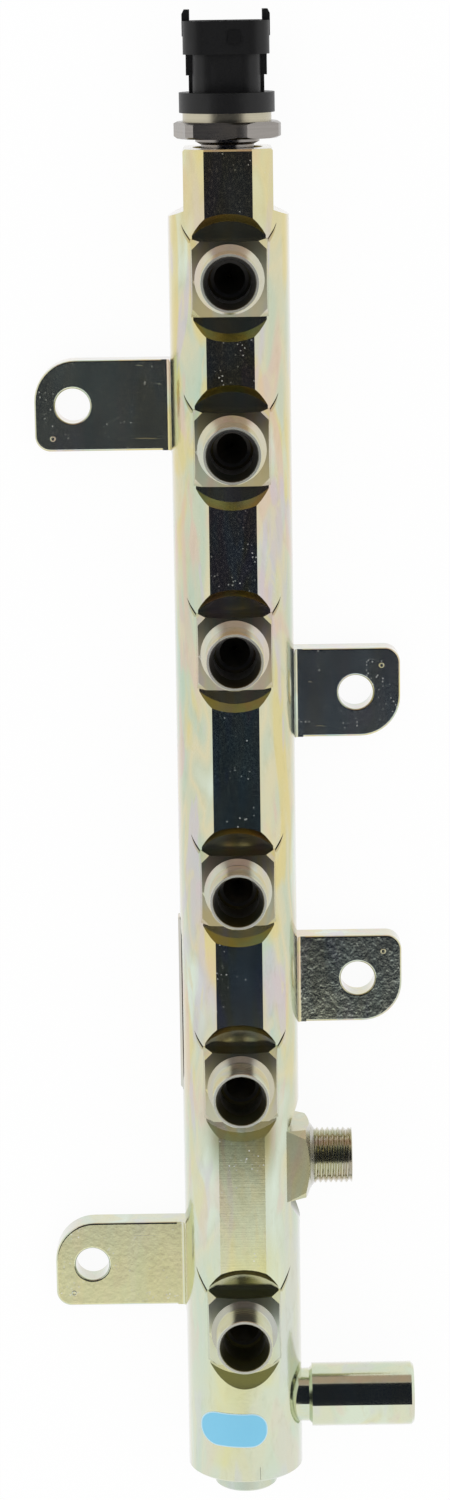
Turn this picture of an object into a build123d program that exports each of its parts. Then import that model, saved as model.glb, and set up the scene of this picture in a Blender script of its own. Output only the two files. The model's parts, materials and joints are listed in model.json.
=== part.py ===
"""Forged high-pressure fuel rail: six injector ports, a side inlet, four mounting ears, a pressure sensor.

All sizes are in millimetres. The rail lies along Y on its ears, with its ports pointing up along +Z.
The origin is on the rail's axis, in the plane of its closed end, and the sensor is at the +Y end.
"""

import os
from math import radians, sqrt, tan

from build123d import *

# ---------------------------------------------------------------- rail tube
RAIL_RADIUS = 16.65
RAIL_BORE_RADIUS = 5.0
CLOSED_END_WALL = 12.0
END_CHAMFER = 0.4
END_STUB_RADIUS = 9.1
END_STUB_LENGTH = 6.1
CROWN_DEPTH = 1.35             # how deep the flat is milled, from the sensor down to the last port
DRILL_POINT_SLOPE = 31         # degrees, the coned bottom of a drilled hole
CUT_MARGIN = 1.0               # how far a cut runs past the surface that it opens

# spanner neck at the sensor end
NECK_ACROSS_FLATS = 24.4
NECK_LENGTH = 16.5
NECK_SHOULDER = 2.3
NECK_CHAMFER = 0.5

# ---------------------------------------------------------------- places along the rail
CLOSED_END_TO_PORT = 47.4
PORT_PITCHES = (73.1, 57.4, 67.4, 56.6, 46.2)      # from the closed end's port up to the sensor's
SENSOR_END_TO_PORT = 34.4
INLET_TO_PORT = 26.6           # from the inlet up to the port above it

# ---------------------------------------------------------------- threaded ports
PORT_BLOCK_WIDTH = 20.1         # at its top
PORT_BLOCK_DRAFT = 4.7         # degrees, its sides lean in
PORT_CORNER_WIDTH = 24.6       # across its corner facets, at its top
PORT_CORNER_DRAFT = 22         # degrees, those facets lean in
PORT_BLOCK_RISE = 3.05         # the block's top above the tube
PORT_NOSE_LENGTH = 12.1
PORT_THREAD_RADIUS = 8.0       # M16 x 1.5
PORT_SHOULDER_WIDTH = 1.5      # coned ring at the foot of the thread
PORT_RING_SLOPE = 38           # degrees, up that ring to the thread
PORT_SHOULDER_SLOPE = 21       # degrees, from that ring down to the block's corners
PORT_TIP_CHAMFER = 0.2
PORT_LIP = 0.6                 # flat rim left between the tip's chamfer and the mouth
PORT_MOUTH_BREAK = 0.15        # the rim's broken inner edge
PORT_MOUTH_DEPTH = 5.4         # of the cone behind it
PORT_BORE_RADIUS = 5.9
PORT_BORE_DEPTH = 15.6
PORT_DRILLING_RADIUS = 1.7
INLET_SEAT_SLOPE = 30          # degrees from the inlet's axis

# round pocket milled about each port
PORT_POCKET_DEPTH = 3.35
INLET_POCKET_DEPTH = 2.75
POCKET_FLOOR_RADIUS = 15.2
POCKET_WALL_SLOPE = 46         # degrees from the port's axis

# pressed-in orifice under each injector port
ORIFICE_RADIUS = 5.1
ORIFICE_LENGTH = 7.0
ORIFICE_RIM = 0.9              # flat ring around its coned seat
ORIFICE_SEAT_SLOPE = 30
ORIFICE_HOLE_RADIUS = 0.6
PRESS_CLEARANCE = 0.02

# ---------------------------------------------------------------- ears
EAR_WIDTH = 25.5
EAR_THICKNESS = 7.5
EAR_DROP = 0.85                # the ears' underside below the tube
EAR_HOLE_RADIUS = 4.9
EAR_LARGE_CORNER = 11.5
EAR_SMALL_CORNER = 4.4
EAR_EDGE_ROUND = 0.6
LEFT_EAR_REACH = 55.0
LEFT_EAR_END_TO_HOLE = 10.7
RIGHT_EAR_REACH = 47.0
RIGHT_EAR_END_TO_HOLE = 12.7
LEFT_EAR_PLACES = (311.0, 57.8)
RIGHT_EAR_PLACES = (228.25, 143.9)
ROOT_PROUD = 0.45              # the forged root beyond the tube, where it meets the ear's top
ROOT_HEIGHT = 3.0
ROOT_FILLET = 1.1
ROOT_FOOT = 4.0                # how far the foot runs past the axis under the tube
ROOT_FOOT_END = 8.5

# forged pad on the left flank, between the fourth and the fifth port
PAD_PLACE = 140.5
PAD_LENGTH = 50.0
PAD_PROUD = 0.55
PAD_TOP = 3.4
PAD_BOTTOM = -9.0

# ---------------------------------------------------------------- side peg by the closed end
PEG_PLACE = 20.3
PEG_RADIUS = 9.2
PEG_LENGTH = 29.8
PEG_CHAMFER = 0.8
PEG_NECK_LENGTH = 2.95
PEG_NECK_DEPTH = 1.5
PEG_NECK_FLARE = 0.9

# ---------------------------------------------------------------- pressure sensor, steel body
SENSOR_THREAD_RADIUS = 8.95    # M18 x 1.5
SENSOR_HOLE_CLEARANCE = 0.05
SENSOR_HOLE_DEPTH = 13.0
SENSOR_HOLE_MOUTH = 0.9        # chamfer at the hole's mouth
SENSOR_NOSE_STEP = 2.35
SENSOR_NOSE_LENGTH = 2.0
SENSOR_THREAD_DROP = 0.8       # from the rail's end down to the first thread
SENSOR_COLLAR_RADIUS = 8.8     # plain collar under the hexagon
SENSOR_COLLAR_HEIGHT = 0.9
SENSOR_COLLAR_CONE = 0.8       # height of the cone under that collar
SENSOR_UNDERCUT = 1.7
HEX_GAP = 2.5                  # between the rail's end and the hexagon
HEX_ACROSS_FLATS = 27.0
HEX_THICKNESS = 4.5
HEX_CORNER_RADIUS = 14.8
HEX_CHAMFER = 1.1
HEX_TURN = 14.5                # degrees, how far its front flat turns towards -X
CHANNEL_RADIUS = 1.5
REGISTER_HEIGHT = 1.4

SLEEVE_RADIUS = 12.1
SLEEVE_WALL = 1.2
SLEEVE_HEIGHT = 6.2
SEAL_THICKNESS = 0.8
FIT_CLEARANCE = 0.15

# ---------------------------------------------------------------- pressure sensor, inside
CELL_RADIUS = 4.0
CELL_HEIGHT = 3.0
CELL_WALL = 1.2
MEMBRANE = 0.6
CARRIER_CLEARANCE = 1.2        # about the pressure cell
BOARD_GAP = 0.4                # over the pressure cell
BOARD_THICKNESS = 1.0
CHIP_SIZE = 5.0
CHIP_HEIGHT = 0.9
CHIP_PLACE = 5.0

# ---------------------------------------------------------------- pressure sensor, connector housing
COLLAR_WALL = 0.8
COLLAR_SKIRT = 4.6
COLLAR_ROOF = 0.8
HOUSING_WIDTH = 18.6
HOUSING_DEPTH = 16.6
HOUSING_CORNER = 5.0
HOUSING_PARTITION = 3.4
PLUG_WALL = 2.2
CHAMBER_RADIUS = 6.6
CHAMBER_HEIGHT = 2.9
HOOD_DEPTH = 18.4
HOOD_CORNER = 5.5
HOOD_LENGTH = 8.9
HOOD_WALL = 1.9
HOOD_OVERHANG = 0.75           # past the guides under it
GUIDE_LENGTH = 5.6             # side guide ribs under the hood
GUIDE_PROUD = 1.7              # beyond the housing's side
GUIDE_DEPTH = 6.0
KEY_LENGTH = 4.6               # lower keys, on the housing's sides
KEY_PROUD = 0.95
PRONG_LENGTH = 3.0
PRONG_PROUD = 0.2              # beyond the hood's side
PRONG_DROP = 4.1               # how far a prong runs down that side
PRONG_THICKNESS = 2.1
PRONG_DEPTH = 7.0
PRONG_CHAMFER = 0.6
LATCH_PLACE = 2.2
LATCH_RISE = 2.9               # above the hood's lower edge
LATCH_WIDTH = 3.3
LATCH_LENGTH = 3.5
LATCH_REACH = 0.9

TERMINAL_PITCH = 4.2
TERMINAL_WIDTH = 1.5
TERMINAL_THICKNESS = 0.64
TERMINAL_FOOT = 3.0
TERMINAL_RECESS = 3.9          # the tips below the hood's rim
SPRING_WIDTH = 1.2
SPRING_THICKNESS = 0.3
SPRING_REACH = 2.2
SPRING_HEIGHT = 2.0

# ---------------------------------------------------------------- identification label
LABEL_WIDTH = 19.3             # across the rail, seen from above
LABEL_HEIGHT = 10.3
LABEL_CORNER = 4.8
LABEL_PLACE_X = -3.3
LABEL_PLACE_Y = 16.0
LABEL_THICKNESS = 0.15

# ---------------------------------------------------------------- places and heights that follow
port_count = len(PORT_PITCHES) + 1
port_places = [CLOSED_END_TO_PORT + sum(PORT_PITCHES[:count]) for count in range(port_count)][::-1]
inlet_place = port_places[-2] - INLET_TO_PORT
rail_top = port_places[0] + SENSOR_END_TO_PORT
neck_bottom = rail_top - NECK_LENGTH
crown_height = RAIL_RADIUS - CROWN_DEPTH
beyond = RAIL_RADIUS + CUT_MARGIN

block_top = RAIL_RADIUS + PORT_BLOCK_RISE
tip_height = block_top + PORT_NOSE_LENGTH
bore_floor = tip_height - PORT_BORE_DEPTH
orifice_bottom = bore_floor - ORIFICE_LENGTH
mouth_radius = PORT_THREAD_RADIUS - PORT_TIP_CHAMFER - PORT_LIP
ear_underside = -RAIL_RADIUS - EAR_DROP
ear_top = ear_underside + EAR_THICKNESS
peg_start = RAIL_RADIUS + PEG_NECK_LENGTH
peg_reach = peg_start + PEG_LENGTH

# heights of the sensor's pieces above the rail's end
hex_top = HEX_GAP + HEX_THICKNESS
register_top = hex_top + REGISTER_HEIGHT
sleeve_top = hex_top + SLEEVE_HEIGHT
seal_top = sleeve_top + SEAL_THICKNESS
carrier_top = register_top + CELL_HEIGHT + BOARD_GAP
board_top = carrier_top + BOARD_THICKNESS
terminal_bottom = board_top + SPRING_HEIGHT
chamber_top = board_top + CHAMBER_HEIGHT
cavity_floor = chamber_top + HOUSING_PARTITION
collar_bottom = seal_top - COLLAR_SKIRT
collar_top = seal_top + COLLAR_ROOF
guide_bottom = collar_top + KEY_LENGTH
hood_bottom = guide_bottom + GUIDE_LENGTH
hood_top = hood_bottom + HOOD_LENGTH
prong_top = hood_top + PRONG_LENGTH

# widths of the sensor's pieces
sleeve_bore = SLEEVE_RADIUS - SLEEVE_WALL
register_radius = sleeve_bore - FIT_CLEARANCE
skirt_bore = SLEEVE_RADIUS + FIT_CLEARANCE
guide_outer = HOUSING_WIDTH / 2 + GUIDE_PROUD
hood_width = 2 * (guide_outer + HOOD_OVERHANG)
prong_outer = hood_width / 2 + PRONG_PROUD
prong_bottom = hood_top - PRONG_DROP


def along_y(height):
    """A plane across the rail's axis, at a height above the rail's sensor end."""
    return Plane(origin=(0, rail_top + height, 0), x_dir=(1, 0, 0), z_dir=(0, 1, 0))


def port_planes():
    """One plane for each injector port, on the rail's axis, facing up."""
    return [Plane(origin=(0, place, 0), z_dir=(0, 0, 1)) for place in port_places]


def inlet_plane():
    """The side inlet's plane, on the rail's axis, facing +X."""
    return Plane(origin=(0, inlet_place, 0), x_dir=(0, 0, -1), z_dir=(1, 0, 0))


def pocket_cutter(depth):
    """The cutter for the round pocket about a port: a flat floor and a sloping wall."""
    floor = RAIL_RADIUS - depth
    wall_radius = POCKET_FLOOR_RADIUS + (beyond - floor) * tan(radians(POCKET_WALL_SLOPE))
    with BuildPart() as cutter:
        with BuildSketch(Plane.XZ):
            Polygon(
                (0, floor), (POCKET_FLOOR_RADIUS, floor), (wall_radius, beyond), (0, beyond), align=None,
            )
        revolve(axis=Axis.Z)
    return cutter.part


def port_boss():
    """A port's square block with its coned shoulder and ring, and the plain cylinder of its thread."""
    block_foot = PORT_BLOCK_WIDTH + 2 * block_top * tan(radians(PORT_BLOCK_DRAFT))
    corner_foot = PORT_CORNER_WIDTH + 2 * block_top * tan(radians(PORT_CORNER_DRAFT))
    shoulder_radius = PORT_THREAD_RADIUS + PORT_SHOULDER_WIDTH
    ring_top = block_top + PORT_SHOULDER_WIDTH * tan(radians(PORT_RING_SLOPE))
    outer = PORT_BLOCK_WIDTH
    drop = (outer - shoulder_radius) * tan(radians(PORT_SHOULDER_SLOPE))
    with BuildPart() as boss:
        with BuildSketch():
            Rectangle(block_foot, block_foot)
        extrude(amount=block_top, taper=PORT_BLOCK_DRAFT)
        with BuildSketch():
            Rectangle(corner_foot, corner_foot, rotation=45)
        extrude(amount=block_top, taper=PORT_CORNER_DRAFT, mode=Mode.INTERSECT)
        with BuildSketch(Plane.XZ):
            Polygon(
                (shoulder_radius, block_top),
                (outer, block_top - drop),
                (outer, block_top),
                align=None,
            )
        revolve(axis=Axis.Z, mode=Mode.SUBTRACT)
        with BuildSketch(Plane.XZ):
            Polygon(
                (0, 0),
                (shoulder_radius, 0),
                (shoulder_radius, block_top),
                (PORT_THREAD_RADIUS, ring_top),
                (0, ring_top),
                align=None,
            )
        revolve(axis=Axis.Z)
        with BuildSketch(Plane.XY.offset(block_top)):
            Circle(PORT_THREAD_RADIUS)
        extrude(amount=PORT_NOSE_LENGTH)
        chamfer(boss.faces().sort_by(Axis.Z)[-1].edges(), PORT_TIP_CHAMFER)
    return boss.part


def port_bore(seat):
    """The cutter for a port's bore: its coned mouth, its straight bore, then the outline of its seat."""
    mouth_end = tip_height - PORT_MOUTH_DEPTH
    with BuildPart() as cutter:
        with BuildSketch(Plane.XZ):
            Polygon(
                (0, 0),
                (PORT_DRILLING_RADIUS, 0),
                *seat,
                (PORT_BORE_RADIUS, bore_floor),
                (PORT_BORE_RADIUS, mouth_end),
                (mouth_radius - PORT_MOUTH_BREAK, tip_height - PORT_MOUTH_BREAK),
                (mouth_radius, tip_height),
                (mouth_radius, tip_height + CUT_MARGIN),
                (0, tip_height + CUT_MARGIN),
                align=None,
            )
        revolve(axis=Axis.Z)
    return cutter.part


def ear_plan(side, reach, end_to_hole, place):
    """One ear seen from above. A left ear's large corner faces the sensor, a right ear's the closed end."""
    with BuildSketch(Plane.XY.offset(ear_underside)) as plan:
        with Locations((side * reach / 2, place)):
            Rectangle(reach, EAR_WIDTH)
        large = plan.vertices().sort_by_distance((side * reach, place - side * EAR_WIDTH / 2))[0]
        fillet(large, EAR_LARGE_CORNER)
        small = plan.vertices().sort_by_distance((side * reach, place + side * EAR_WIDTH / 2))[0]
        fillet(small, EAR_SMALL_CORNER)
        with Locations((side * (reach - end_to_hole), place)):
            Circle(EAR_HOLE_RADIUS, mode=Mode.SUBTRACT)
    return plan.sketch


def ear_plate(side, reach, end_to_hole, place):
    """One ear's flat plate, with its upper edges rounded."""
    with BuildPart() as ear:
        add(ear_plan(side, reach, end_to_hole, place))
        extrude(amount=EAR_THICKNESS)
        top = ear.faces().sort_by(Axis.Z)[-1]
        fillet(top.edges(), EAR_EDGE_ROUND)
    return ear.part


def ear_root(side, place):
    """The forged root that carries an ear: a steep flank, a fillet and a foot under the tube."""
    flank_start = sqrt(RAIL_RADIUS**2 - ROOT_HEIGHT**2)
    foot_end = -sqrt(RAIL_RADIUS**2 - ROOT_FOOT_END**2)
    root_reach = RAIL_RADIUS + ROOT_PROUD
    toe = root_reach + 2 * ROOT_FILLET
    with BuildPart() as root:
        with BuildSketch(Plane.XZ.offset(-place)) as section:
            Polygon(
                (side * flank_start, ROOT_HEIGHT),
                (side * root_reach, ear_top),
                (side * toe, ear_top),
                (side * toe, ear_underside),
                (-side * ROOT_FOOT, ear_underside),
                (-side * ROOT_FOOT_END, foot_end),
                (0, ROOT_HEIGHT),
                align=None,
            )
            heel = section.vertices().sort_by_distance((side * root_reach, ear_top, 0))[0]
            fillet(heel, ROOT_FILLET)
        extrude(amount=EAR_WIDTH / 2, both=True)
    return root.part


def flank_pad():
    """The forged pad on the tube's left flank."""
    top = -sqrt(RAIL_RADIUS**2 - PAD_TOP**2)
    pad_reach = RAIL_RADIUS + PAD_PROUD
    with BuildPart() as pad:
        with BuildSketch(Plane.XZ.offset(-PAD_PLACE)):
            Polygon(
                (0, PAD_TOP),
                (top, PAD_TOP),
                (-pad_reach, 0),
                (-pad_reach, PAD_BOTTOM / 2),
                (-sqrt(RAIL_RADIUS**2 - PAD_BOTTOM**2), PAD_BOTTOM),
                (0, PAD_BOTTOM),
                align=None,
            )
        extrude(amount=PAD_LENGTH / 2, both=True)
    return pad.part


# ---------------------------------------------------------------- rail body, one forging
pocket_radius = ORIFICE_RADIUS + PRESS_CLEARANCE
orifice_pocket = (
    (PORT_DRILLING_RADIUS, orifice_bottom),
    (pocket_radius, orifice_bottom),
    (pocket_radius, bore_floor),
)
inlet_seat_depth = (PORT_BORE_RADIUS - PORT_DRILLING_RADIUS) / tan(radians(INLET_SEAT_SLOPE))
inlet_seat = ((PORT_DRILLING_RADIUS, bore_floor - inlet_seat_depth),)
sensor_hole_radius = SENSOR_THREAD_RADIUS + SENSOR_HOLE_CLEARANCE
sensor_hole_floor = rail_top - SENSOR_HOLE_DEPTH
peg_neck = PEG_RADIUS - PEG_NECK_DEPTH

with BuildPart() as rail_body:
    # turned tube with the stub on its closed end
    with BuildSketch(Plane.XY):
        Polygon(
            (0, -END_STUB_LENGTH),
            (END_STUB_RADIUS - NECK_CHAMFER, -END_STUB_LENGTH),
            (END_STUB_RADIUS, NECK_CHAMFER - END_STUB_LENGTH),
            (END_STUB_RADIUS, 0),
            (RAIL_RADIUS - END_CHAMFER, 0),
            (RAIL_RADIUS, END_CHAMFER),
            (RAIL_RADIUS, rail_top),
            (0, rail_top),
            align=None,
        )
    revolve(axis=Axis.Y)

    # crown milled flat, down to the block of the closed end's port
    with BuildSketch(Plane.XY.offset(crown_height)):
        with Locations((0, (rail_top + CUT_MARGIN + CLOSED_END_TO_PORT) / 2)):
            Rectangle(2 * RAIL_RADIUS, rail_top + CUT_MARGIN - CLOSED_END_TO_PORT)
    extrude(amount=RAIL_RADIUS, mode=Mode.SUBTRACT)

    # spanner neck
    for side in (1, -1):
        with BuildSketch(Plane.XY):
            Polygon(
                (side * NECK_ACROSS_FLATS / 2, rail_top + CUT_MARGIN),
                (side * NECK_ACROSS_FLATS / 2, neck_bottom),
                (side * beyond, neck_bottom - NECK_SHOULDER),
                (side * beyond, rail_top + CUT_MARGIN),
                align=None,
            )
        extrude(amount=beyond, both=True, mode=Mode.SUBTRACT)
    chamfer(rail_body.faces().sort_by(Axis.Y)[-1].edges(), NECK_CHAMFER)

    # pockets first, so that each block stands free in its own
    with Locations(*port_planes()):
        add(pocket_cutter(PORT_POCKET_DEPTH), mode=Mode.SUBTRACT)
    with Locations(inlet_plane()):
        add(pocket_cutter(INLET_POCKET_DEPTH), mode=Mode.SUBTRACT)
    with Locations(*port_planes(), inlet_plane()):
        add(port_boss())

    # ears on their roots, and the plain pad
    for place in LEFT_EAR_PLACES:
        add(ear_root(-1, place))
        add(ear_plate(-1, LEFT_EAR_REACH, LEFT_EAR_END_TO_HOLE, place))
    for place in RIGHT_EAR_PLACES:
        add(ear_root(1, place))
        add(ear_plate(1, RIGHT_EAR_REACH, RIGHT_EAR_END_TO_HOLE, place))
    add(flank_pad())

    # side peg with its undercut neck
    with BuildSketch(Plane.XZ.offset(-PEG_PLACE)):
        Polygon(
            (0, 0),
            (0, peg_neck),
            (peg_start - PEG_NECK_FLARE, peg_neck),
            (peg_start, peg_neck + PEG_NECK_FLARE),
            (peg_start, PEG_RADIUS),
            (peg_reach - PEG_CHAMFER, PEG_RADIUS),
            (peg_reach, PEG_RADIUS - PEG_CHAMFER),
            (peg_reach, 0),
            align=None,
        )
    revolve(axis=Axis((0, PEG_PLACE, 0), (1, 0, 0)))

    # the rail's own bore, and the threaded hole for the sensor
    with BuildSketch(Plane.XY):
        Polygon(
            (0, CLOSED_END_WALL - RAIL_BORE_RADIUS * tan(radians(DRILL_POINT_SLOPE))),
            (RAIL_BORE_RADIUS, CLOSED_END_WALL),
            (RAIL_BORE_RADIUS, sensor_hole_floor),
            (sensor_hole_radius, sensor_hole_floor),
            (sensor_hole_radius, rail_top - SENSOR_HOLE_MOUTH),
            (sensor_hole_radius + SENSOR_HOLE_MOUTH + CUT_MARGIN, rail_top + CUT_MARGIN),
            (0, rail_top + CUT_MARGIN),
            align=None,
        )
    revolve(axis=Axis.Y, mode=Mode.SUBTRACT)

    # port bores
    with Locations(*port_planes()):
        add(port_bore(orifice_pocket), mode=Mode.SUBTRACT)
    with Locations(inlet_plane()):
        add(port_bore(inlet_seat), mode=Mode.SUBTRACT)

os.makedirs("parts", exist_ok=True)
rail_body.part.label = "rail_body"
export_step(rail_body.part, "parts/rail_body.step")

# ---------------------------------------------------------------- orifices, one pressed into each port
seat_radius = ORIFICE_RADIUS - ORIFICE_RIM
seat_depth = (seat_radius - ORIFICE_HOLE_RADIUS) / tan(radians(ORIFICE_SEAT_SLOPE))

for number, place in enumerate(port_places, 1):
    with BuildPart() as orifice:
        with BuildSketch(Plane.XZ.offset(-place)):
            Polygon(
                (ORIFICE_HOLE_RADIUS, orifice_bottom),
                (ORIFICE_RADIUS, orifice_bottom),
                (ORIFICE_RADIUS, bore_floor),
                (seat_radius, bore_floor),
                (ORIFICE_HOLE_RADIUS, bore_floor - seat_depth),
                align=None,
            )
        revolve(axis=Axis((0, place, 0), (0, 0, 1)))
    orifice.part.label = f"port_orifice_{number}"
    export_step(orifice.part, f"parts/port_orifice_{number}.step")

# ---------------------------------------------------------------- pressure sensor
nose_radius = SENSOR_THREAD_RADIUS - SENSOR_NOSE_STEP
undercut_radius = SENSOR_THREAD_RADIUS - SENSOR_UNDERCUT
collar_foot = HEX_GAP - SENSOR_COLLAR_HEIGHT
sensor_section = Plane(origin=(0, rail_top, 0), x_dir=(1, 0, 0), z_dir=(0, 0, 1))

with BuildPart() as sensor_body:
    # hexagon with turned corners
    with BuildSketch(along_y(HEX_GAP)):
        RegularPolygon(HEX_ACROSS_FLATS / 2, 6, major_radius=False, rotation=-HEX_TURN)
    extrude(amount=hex_top - HEX_GAP)
    with BuildSketch(sensor_section):
        Polygon(
            (0, HEX_GAP),
            (HEX_CORNER_RADIUS - HEX_CHAMFER, HEX_GAP),
            (HEX_CORNER_RADIUS, HEX_GAP + HEX_CHAMFER / 2),
            (HEX_CORNER_RADIUS, hex_top - HEX_CHAMFER / 2),
            (HEX_CORNER_RADIUS - HEX_CHAMFER, hex_top),
            (0, hex_top),
            align=None,
        )
    revolve(axis=Axis.Y, mode=Mode.INTERSECT)
    # threaded shank below it, register for the sleeve above it
    with BuildSketch(sensor_section):
        Polygon(
            (0, -SENSOR_HOLE_DEPTH),
            (nose_radius, -SENSOR_HOLE_DEPTH),
            (nose_radius, -SENSOR_HOLE_DEPTH + SENSOR_NOSE_LENGTH),
            (SENSOR_THREAD_RADIUS, -SENSOR_HOLE_DEPTH + SENSOR_NOSE_LENGTH),
            (SENSOR_THREAD_RADIUS, -SENSOR_THREAD_DROP),
            (undercut_radius, -SENSOR_THREAD_DROP),
            (undercut_radius, collar_foot - SENSOR_COLLAR_CONE),
            (SENSOR_COLLAR_RADIUS, collar_foot),
            (SENSOR_COLLAR_RADIUS, HEX_GAP),
            (register_radius, (HEX_GAP + hex_top) / 2),
            (register_radius, register_top),
            (0, register_top),
            align=None,
        )
    revolve(axis=Axis.Y)
    with BuildSketch(along_y(register_top)):
        Circle(CHANNEL_RADIUS)
    extrude(amount=-(register_top + SENSOR_HOLE_DEPTH), mode=Mode.SUBTRACT)

sensor_body.part.label = "sensor_body"
export_step(sensor_body.part, "parts/sensor_body.step")

with BuildPart() as sensor_sleeve:
    with BuildSketch(along_y(hex_top)):
        Circle(SLEEVE_RADIUS)
        Circle(sleeve_bore, mode=Mode.SUBTRACT)
    extrude(amount=SLEEVE_HEIGHT)

sensor_sleeve.part.label = "sensor_sleeve"
export_step(sensor_sleeve.part, "parts/sensor_sleeve.step")

with BuildPart() as housing_seal:
    with BuildSketch(along_y(sleeve_top)):
        Circle(SLEEVE_RADIUS)
        Circle(sleeve_bore, mode=Mode.SUBTRACT)
    extrude(amount=SEAL_THICKNESS)

housing_seal.part.label = "housing_seal"
export_step(housing_seal.part, "parts/housing_seal.step")

with BuildPart() as pressure_cell:
    with BuildSketch(along_y(register_top)):
        Circle(CELL_RADIUS)
    extrude(amount=CELL_HEIGHT)
    with BuildSketch(along_y(register_top)):
        Circle(CELL_RADIUS - CELL_WALL)
    extrude(amount=CELL_HEIGHT - MEMBRANE, mode=Mode.SUBTRACT)

pressure_cell.part.label = "pressure_cell"
export_step(pressure_cell.part, "parts/pressure_cell.step")

with BuildPart() as board_carrier:
    with BuildSketch(along_y(register_top)):
        Circle(register_radius)
        Circle(CELL_RADIUS + CARRIER_CLEARANCE, mode=Mode.SUBTRACT)
    extrude(amount=carrier_top - register_top)

board_carrier.part.label = "board_carrier"
export_step(board_carrier.part, "parts/board_carrier.step")

with BuildPart() as circuit_board:
    with BuildSketch(along_y(carrier_top)):
        Circle(register_radius)
        Circle(CHANNEL_RADIUS, mode=Mode.SUBTRACT)
    extrude(amount=BOARD_THICKNESS)

circuit_board.part.label = "circuit_board"
export_step(circuit_board.part, "parts/circuit_board.step")

with BuildPart() as signal_chip:
    with BuildSketch(along_y(board_top)):
        with Locations((0, -CHIP_PLACE)):
            Rectangle(CHIP_SIZE, CHIP_SIZE)
    extrude(amount=CHIP_HEIGHT)

signal_chip.part.label = "signal_chip"
export_step(signal_chip.part, "parts/signal_chip.step")

# ---------------------------------------------------------------- connector housing on the sensor
plug_radius = sleeve_bore - FIT_CLEARANCE
plug_bore = plug_radius - PLUG_WALL
latch_bottom = hood_bottom + LATCH_RISE
latch_top = latch_bottom + LATCH_LENGTH
terminal_places = [(index * TERMINAL_PITCH, 0) for index in (-1, 0, 1)]

with BuildPart() as connector_housing:
    # collar with the skirt over the steel sleeve, and the plug inside it
    with BuildSketch(along_y(collar_bottom)):
        Circle(skirt_bore + COLLAR_WALL)
    extrude(amount=collar_top - collar_bottom)
    with BuildSketch(along_y(collar_bottom)):
        Circle(skirt_bore)
    extrude(amount=seal_top - collar_bottom, mode=Mode.SUBTRACT)
    with BuildSketch(along_y(board_top)):
        Circle(plug_radius)
    extrude(amount=collar_top - board_top)

    # housing body, its hood, its guides and its keys
    with BuildSketch(along_y(collar_top)):
        RectangleRounded(HOUSING_WIDTH, HOUSING_DEPTH, HOUSING_CORNER)
    extrude(amount=hood_top - collar_top)
    with BuildSketch(along_y(hood_bottom)):
        RectangleRounded(hood_width, HOOD_DEPTH, HOOD_CORNER)
    extrude(amount=hood_top - hood_bottom)
    with BuildSketch(along_y(guide_bottom)):
        Rectangle(2 * guide_outer, GUIDE_DEPTH)
    extrude(amount=GUIDE_LENGTH)
    with BuildSketch(along_y(collar_top)):
        Rectangle(HOUSING_WIDTH + 2 * KEY_PROUD, GUIDE_DEPTH)
    extrude(amount=KEY_LENGTH)

    # prongs on the hood's rim, and the latch ramp on its front
    for side in (1, -1):
        with BuildSketch(sensor_section):
            Polygon(
                (side * (prong_outer - PRONG_THICKNESS), prong_bottom),
                (side * (prong_outer - PRONG_THICKNESS), prong_top),
                (side * (prong_outer - PRONG_CHAMFER), prong_top),
                (side * prong_outer, prong_top - 2 * PRONG_CHAMFER),
                (side * prong_outer, prong_bottom),
                align=None,
            )
        extrude(amount=PRONG_DEPTH / 2, both=True)
    with BuildSketch(Plane(origin=(LATCH_PLACE, rail_top, 0), x_dir=(0, 0, 1), z_dir=(-1, 0, 0))):
        Polygon(
            (HOOD_DEPTH / 2 - LATCH_REACH, latch_bottom),
            (HOOD_DEPTH / 2 + LATCH_REACH, latch_bottom),
            (HOOD_DEPTH / 2 + LATCH_REACH / 3, latch_top),
            (HOOD_DEPTH / 2 - LATCH_REACH, latch_top),
            align=None,
        )
    extrude(amount=LATCH_WIDTH / 2, both=True)

    # connector cavity, wider inside the hood, and the chamber over the circuit board
    with BuildSketch(along_y(cavity_floor)):
        RectangleRounded(
            HOUSING_WIDTH - 2 * HOOD_WALL, HOUSING_DEPTH - 2 * HOOD_WALL, HOUSING_CORNER - HOOD_WALL,
        )
    extrude(amount=hood_top - cavity_floor, mode=Mode.SUBTRACT)
    with BuildSketch(along_y(hood_bottom)):
        RectangleRounded(hood_width - 2 * HOOD_WALL, HOOD_DEPTH - 2 * HOOD_WALL, HOOD_CORNER - HOOD_WALL)
    extrude(amount=hood_top - hood_bottom, mode=Mode.SUBTRACT)
    with BuildSketch(along_y(board_top)):
        Circle(plug_bore)
    extrude(amount=seal_top - board_top, mode=Mode.SUBTRACT)
    with BuildSketch(along_y(board_top)):
        Circle(CHAMBER_RADIUS)
    extrude(amount=chamber_top - board_top, mode=Mode.SUBTRACT)

    # slots that the terminals are pressed through
    with BuildSketch(along_y(chamber_top)):
        with Locations(*terminal_places):
            Rectangle(TERMINAL_WIDTH + 2 * PRESS_CLEARANCE, TERMINAL_THICKNESS + 2 * PRESS_CLEARANCE)
    extrude(amount=HOUSING_PARTITION, mode=Mode.SUBTRACT)

connector_housing.part.label = "connector_housing"
export_step(connector_housing.part, "parts/connector_housing.step")

# ---------------------------------------------------------------- terminals and their contact springs
terminal_tip = hood_top - TERMINAL_RECESS

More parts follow.
